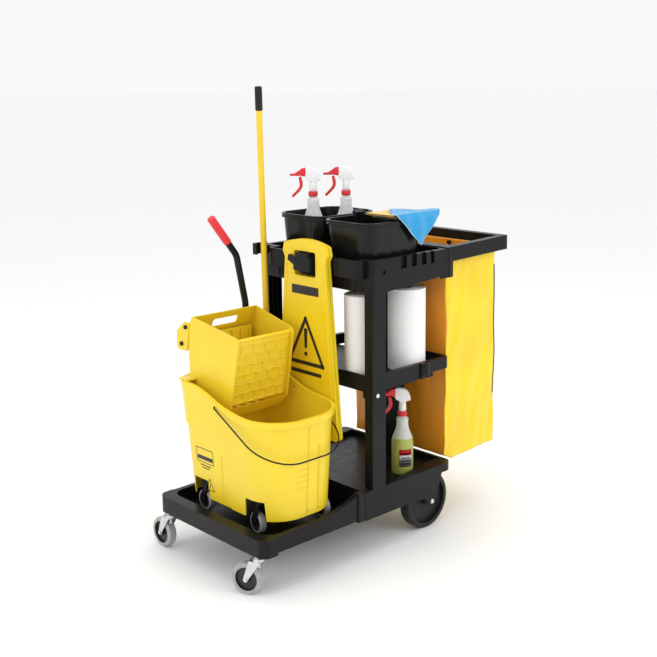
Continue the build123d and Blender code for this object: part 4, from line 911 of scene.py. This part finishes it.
def sign_graphics():
    """Heading bar, warning triangle with an exclamation mark, and a plain bar: no lettering."""
    heading_z, foot_line_z, dot_z, dot_r = 0.868, 0.588, 0.652, 0.0078
    base, width, height, stroke = 0.620, 0.166, 0.152, 0.013
    marks = {"heading": bar(0, heading_z, 0.132, 0.030)}
    slope = atan2(height, width / 2)
    leg = sqrt(height ** 2 + (width / 2) ** 2)
    marks["triangle_base"] = bar(0, base, width + stroke, stroke)
    marks["triangle_left"] = bar(-width / 4, base + height / 2, leg + stroke, stroke, slope)
    marks["triangle_right"] = bar(width / 4, base + height / 2, leg + stroke, stroke, -slope)
    marks["mark_stem"] = [(-0.0085, 0.739), (-0.0060, 0.672), (0.0060, 0.672), (0.0085, 0.739)]
    marks["mark_dot"] = [(dot_r * cos(2 * pi * k / 20), dot_z + dot_r * sin(2 * pi * k / 20))
                         for k in range(20)]
    marks["foot_line"] = bar(0, foot_line_z, 0.150, stroke)
    return marks


def make_sign_graphics(leaf, body, face_x, view):
    across = Vector((0, -view.x, 0))
    origin = Vector((face_x, SIGN_MID, 0))
    for name, outline in sign_graphics().items():
        print_on(f"{leaf}_{name}", (leaf,), outline, origin, across, UP, view, print_black, body,
                 "yellow_plastic", step=8 * MM)


RIB_FOOT_OUT = 0.134
RIB_HEAD_OUT = 0.088
RIB_TOP = 0.955


def make_sign_ribs(leaf, body, face_x, outward_x):
    """Raised beads that follow the leaf's two long edges."""
    for side in (-1, 1):
        foot = Vector((face_x, SIGN_MID + side * RIB_FOOT_OUT, SIGN_LOW.z + 0.020))
        head = Vector((face_x, SIGN_MID + side * RIB_HEAD_OUT, RIB_TOP))
        points = [foot.lerp(head, k / 24) + Vector((outward_x * 0.2 * MM, 0, 0)) for k in range(25)]
        swept(f"{leaf}_rib_{'near' if side < 0 else 'far'}", points, 2.2 * MM, False, sign_yellow, body,
              "yellow_plastic", sides=10)


# ------------------------------------------------------------------ bucket details
BUCKET = ("bucket_shell", "bucket_base")


def make_bucket_marks():
    """A plain badge and a small warning triangle on the bucket."""
    along_x = Vector((1, 0, 0))
    place = Vector((-0.52, 0, 0))
    across = Vector((0, -1, 0))
    target = (print_black, "bucket", "yellow_plastic")

    def stamp(name, outline):
        print_on(name, BUCKET, outline, place, across, UP, along_x, *target, step=6 * MM)

    badge_u, badge_v = -0.098, 0.330
    stamp("badge_band", bar(badge_u, badge_v + 0.010, 0.082, 0.014))
    for name, v in (("top", 0.042), ("bottom", -0.006)):
        stamp(f"badge_{name}", bar(badge_u, badge_v + v, 0.090, 0.0028))
    for name, u in (("left", -0.0445), ("right", 0.0445)):
        stamp(f"badge_{name}", bar(badge_u + u, badge_v + 0.018, 0.0028, 0.048))
    for number, (v, length) in enumerate(((-0.016, 0.056), (-0.025, 0.040)), start=1):
        stamp(f"badge_line_{number}", bar(badge_u, badge_v + v, length, 0.0040))
    centre_u, base, width, height = -0.083, 0.232, 0.042, 0.040
    lean = atan2(height, width / 2)
    leg = sqrt(height ** 2 + (width / 2) ** 2)
    stamp("bucket_sign_base", bar(centre_u, base, width, 0.0030))
    stamp("bucket_sign_left", bar(centre_u - width / 4, base + height / 2, leg, 0.0030, lean))
    stamp("bucket_sign_right", bar(centre_u + width / 4, base + height / 2, leg, 0.0030, -lean))
    stamp("bucket_sign_mark", bar(centre_u, base + 0.015, 0.0034, 0.016))


LEVEL_HEIGHTS = (0.300, 0.320, 0.340, 0.360)
LEVEL_START_X = -0.420
LEVEL_LENGTH = 0.042
FLUTE_FOOT = 0.215
FLUTES = ((-0.372, 0.495, 3.2 * MM), (-0.326, 0.425, 4.5 * MM))
SEAM_FOOT = Vector((-0.8, 0.014, 0.222))
SEAM_HEAD = Vector((-0.8, 0.007, 0.374))


def make_level_lines():
    """Raised measuring lines and two upright flutes at the bowl end, and a seam at the side."""
    skin = surface_of(BUCKET)

    def wall_point(x, z, lift):
        return skin.ray_cast(Vector((x, -0.6, z)), Vector((0, 1, 0)))[0] - Vector((0, lift, 0))

    for number, z in enumerate(LEVEL_HEIGHTS, start=1):
        points = [wall_point(LEVEL_START_X + LEVEL_LENGTH * k / 12, z, 0.2 * MM) for k in range(13)]
        swept(f"level_line_{number}", points, 2.0 * MM, False, bucket_yellow, "bucket", "yellow_plastic",
              sides=8)
    for number, (x, top, radius) in enumerate(FLUTES, start=1):
        points = [wall_point(x, FLUTE_FOOT + (top - FLUTE_FOOT) * k / 28, 0.4 * MM) for k in range(29)]
        swept(f"bowl_flute_{number}", points, radius, False, bucket_yellow, "bucket",
              "yellow_plastic", sides=10)
    points = [skin.ray_cast(SEAM_FOOT.lerp(SEAM_HEAD, k / 20), Vector((1, 0, 0)))[0] for k in range(21)]
    swept("side_seam", points, 2.2 * MM, False, bucket_yellow, "bucket", "yellow_plastic", sides=8)


# ------------------------------------------------------------------ wringer front
def make_mortar():
    """Raised wavy lines between the rows of the wringer's front wall."""
    low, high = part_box("wringer_front")
    lean = -0.188
    foot = Vector((0, 0.014, 0.520))
    margin = 0.010
    first_row, row_rise, row_count = 0.530, 0.032, 7
    for row in range(row_count):
        points = []
        for k in range(49):
            x = low.x + margin + (high.x - low.x - 2 * margin) * k / 48
            z = first_row + row_rise * row + 0.0026 * sin(2 * pi * (k / 48 * 5 + 0.5 * (row % 2)))
            points.append(Vector((x, foot.y + lean * (z - foot.z) - 0.4 * MM, z)))
        swept(f"wringer_mortar_{row + 1}", points, 2.3 * MM, False, bucket_yellow, "wringer",
              "yellow_plastic", sides=8)


# ------------------------------------------------------------------ floor
def make_floor():
    mesh = bpy.data.meshes.new("floor")
    reach = 400
    mesh.from_pydata([(-reach, -reach, 0), (reach, -reach, 0), (reach, reach, 0), (-reach, reach, 0)], [],
                     [(0, 1, 2, 3)])
    shader = Shader("floor_pale", (0.98, 0.98, 0.98), 0.7, Specular_IOR_Level=0.2)
    shader.color(shader.blend(shader.noise(3, 2), (0.985, 0.985, 0.985), (0.972, 0.972, 0.972)))
    mesh.materials.append(shader.done())
    floor = bpy.data.objects.new("floor", mesh)
    bpy.context.scene.collection.objects.link(floor)


# ------------------------------------------------------------------ build
make_camera()
make_studio()
make_floor()
make_bag()
make_bag_trim()
make_stack()
make_blue_cloth()
make_pail_trim("near_pail", "near_pail_body")
make_pail_trim("far_pail", "far_pail_body")
make_bottle("left_bottle", False)
make_bottle("right_bottle", False)
make_bottle("deck_bottle", True)
make_roll_detail("near_paper_roll", "near_roll")
make_roll_detail("front_paper_roll", "front_roll")
make_sign_graphics("sign_front_leaf", "sign", SIGN_LOW.x, Vector((1, 0, 0)))
make_sign_graphics("sign_rear_leaf", "sign_leaf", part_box("sign_rear_leaf")[1].x, Vector((-1, 0, 0)))
make_sign_ribs("sign_front_leaf", "sign", SIGN_LOW.x, -1)
make_sign_ribs("sign_rear_leaf", "sign_leaf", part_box("sign_rear_leaf")[1].x, 1)
make_bucket_marks()
make_level_lines()
make_mortar()
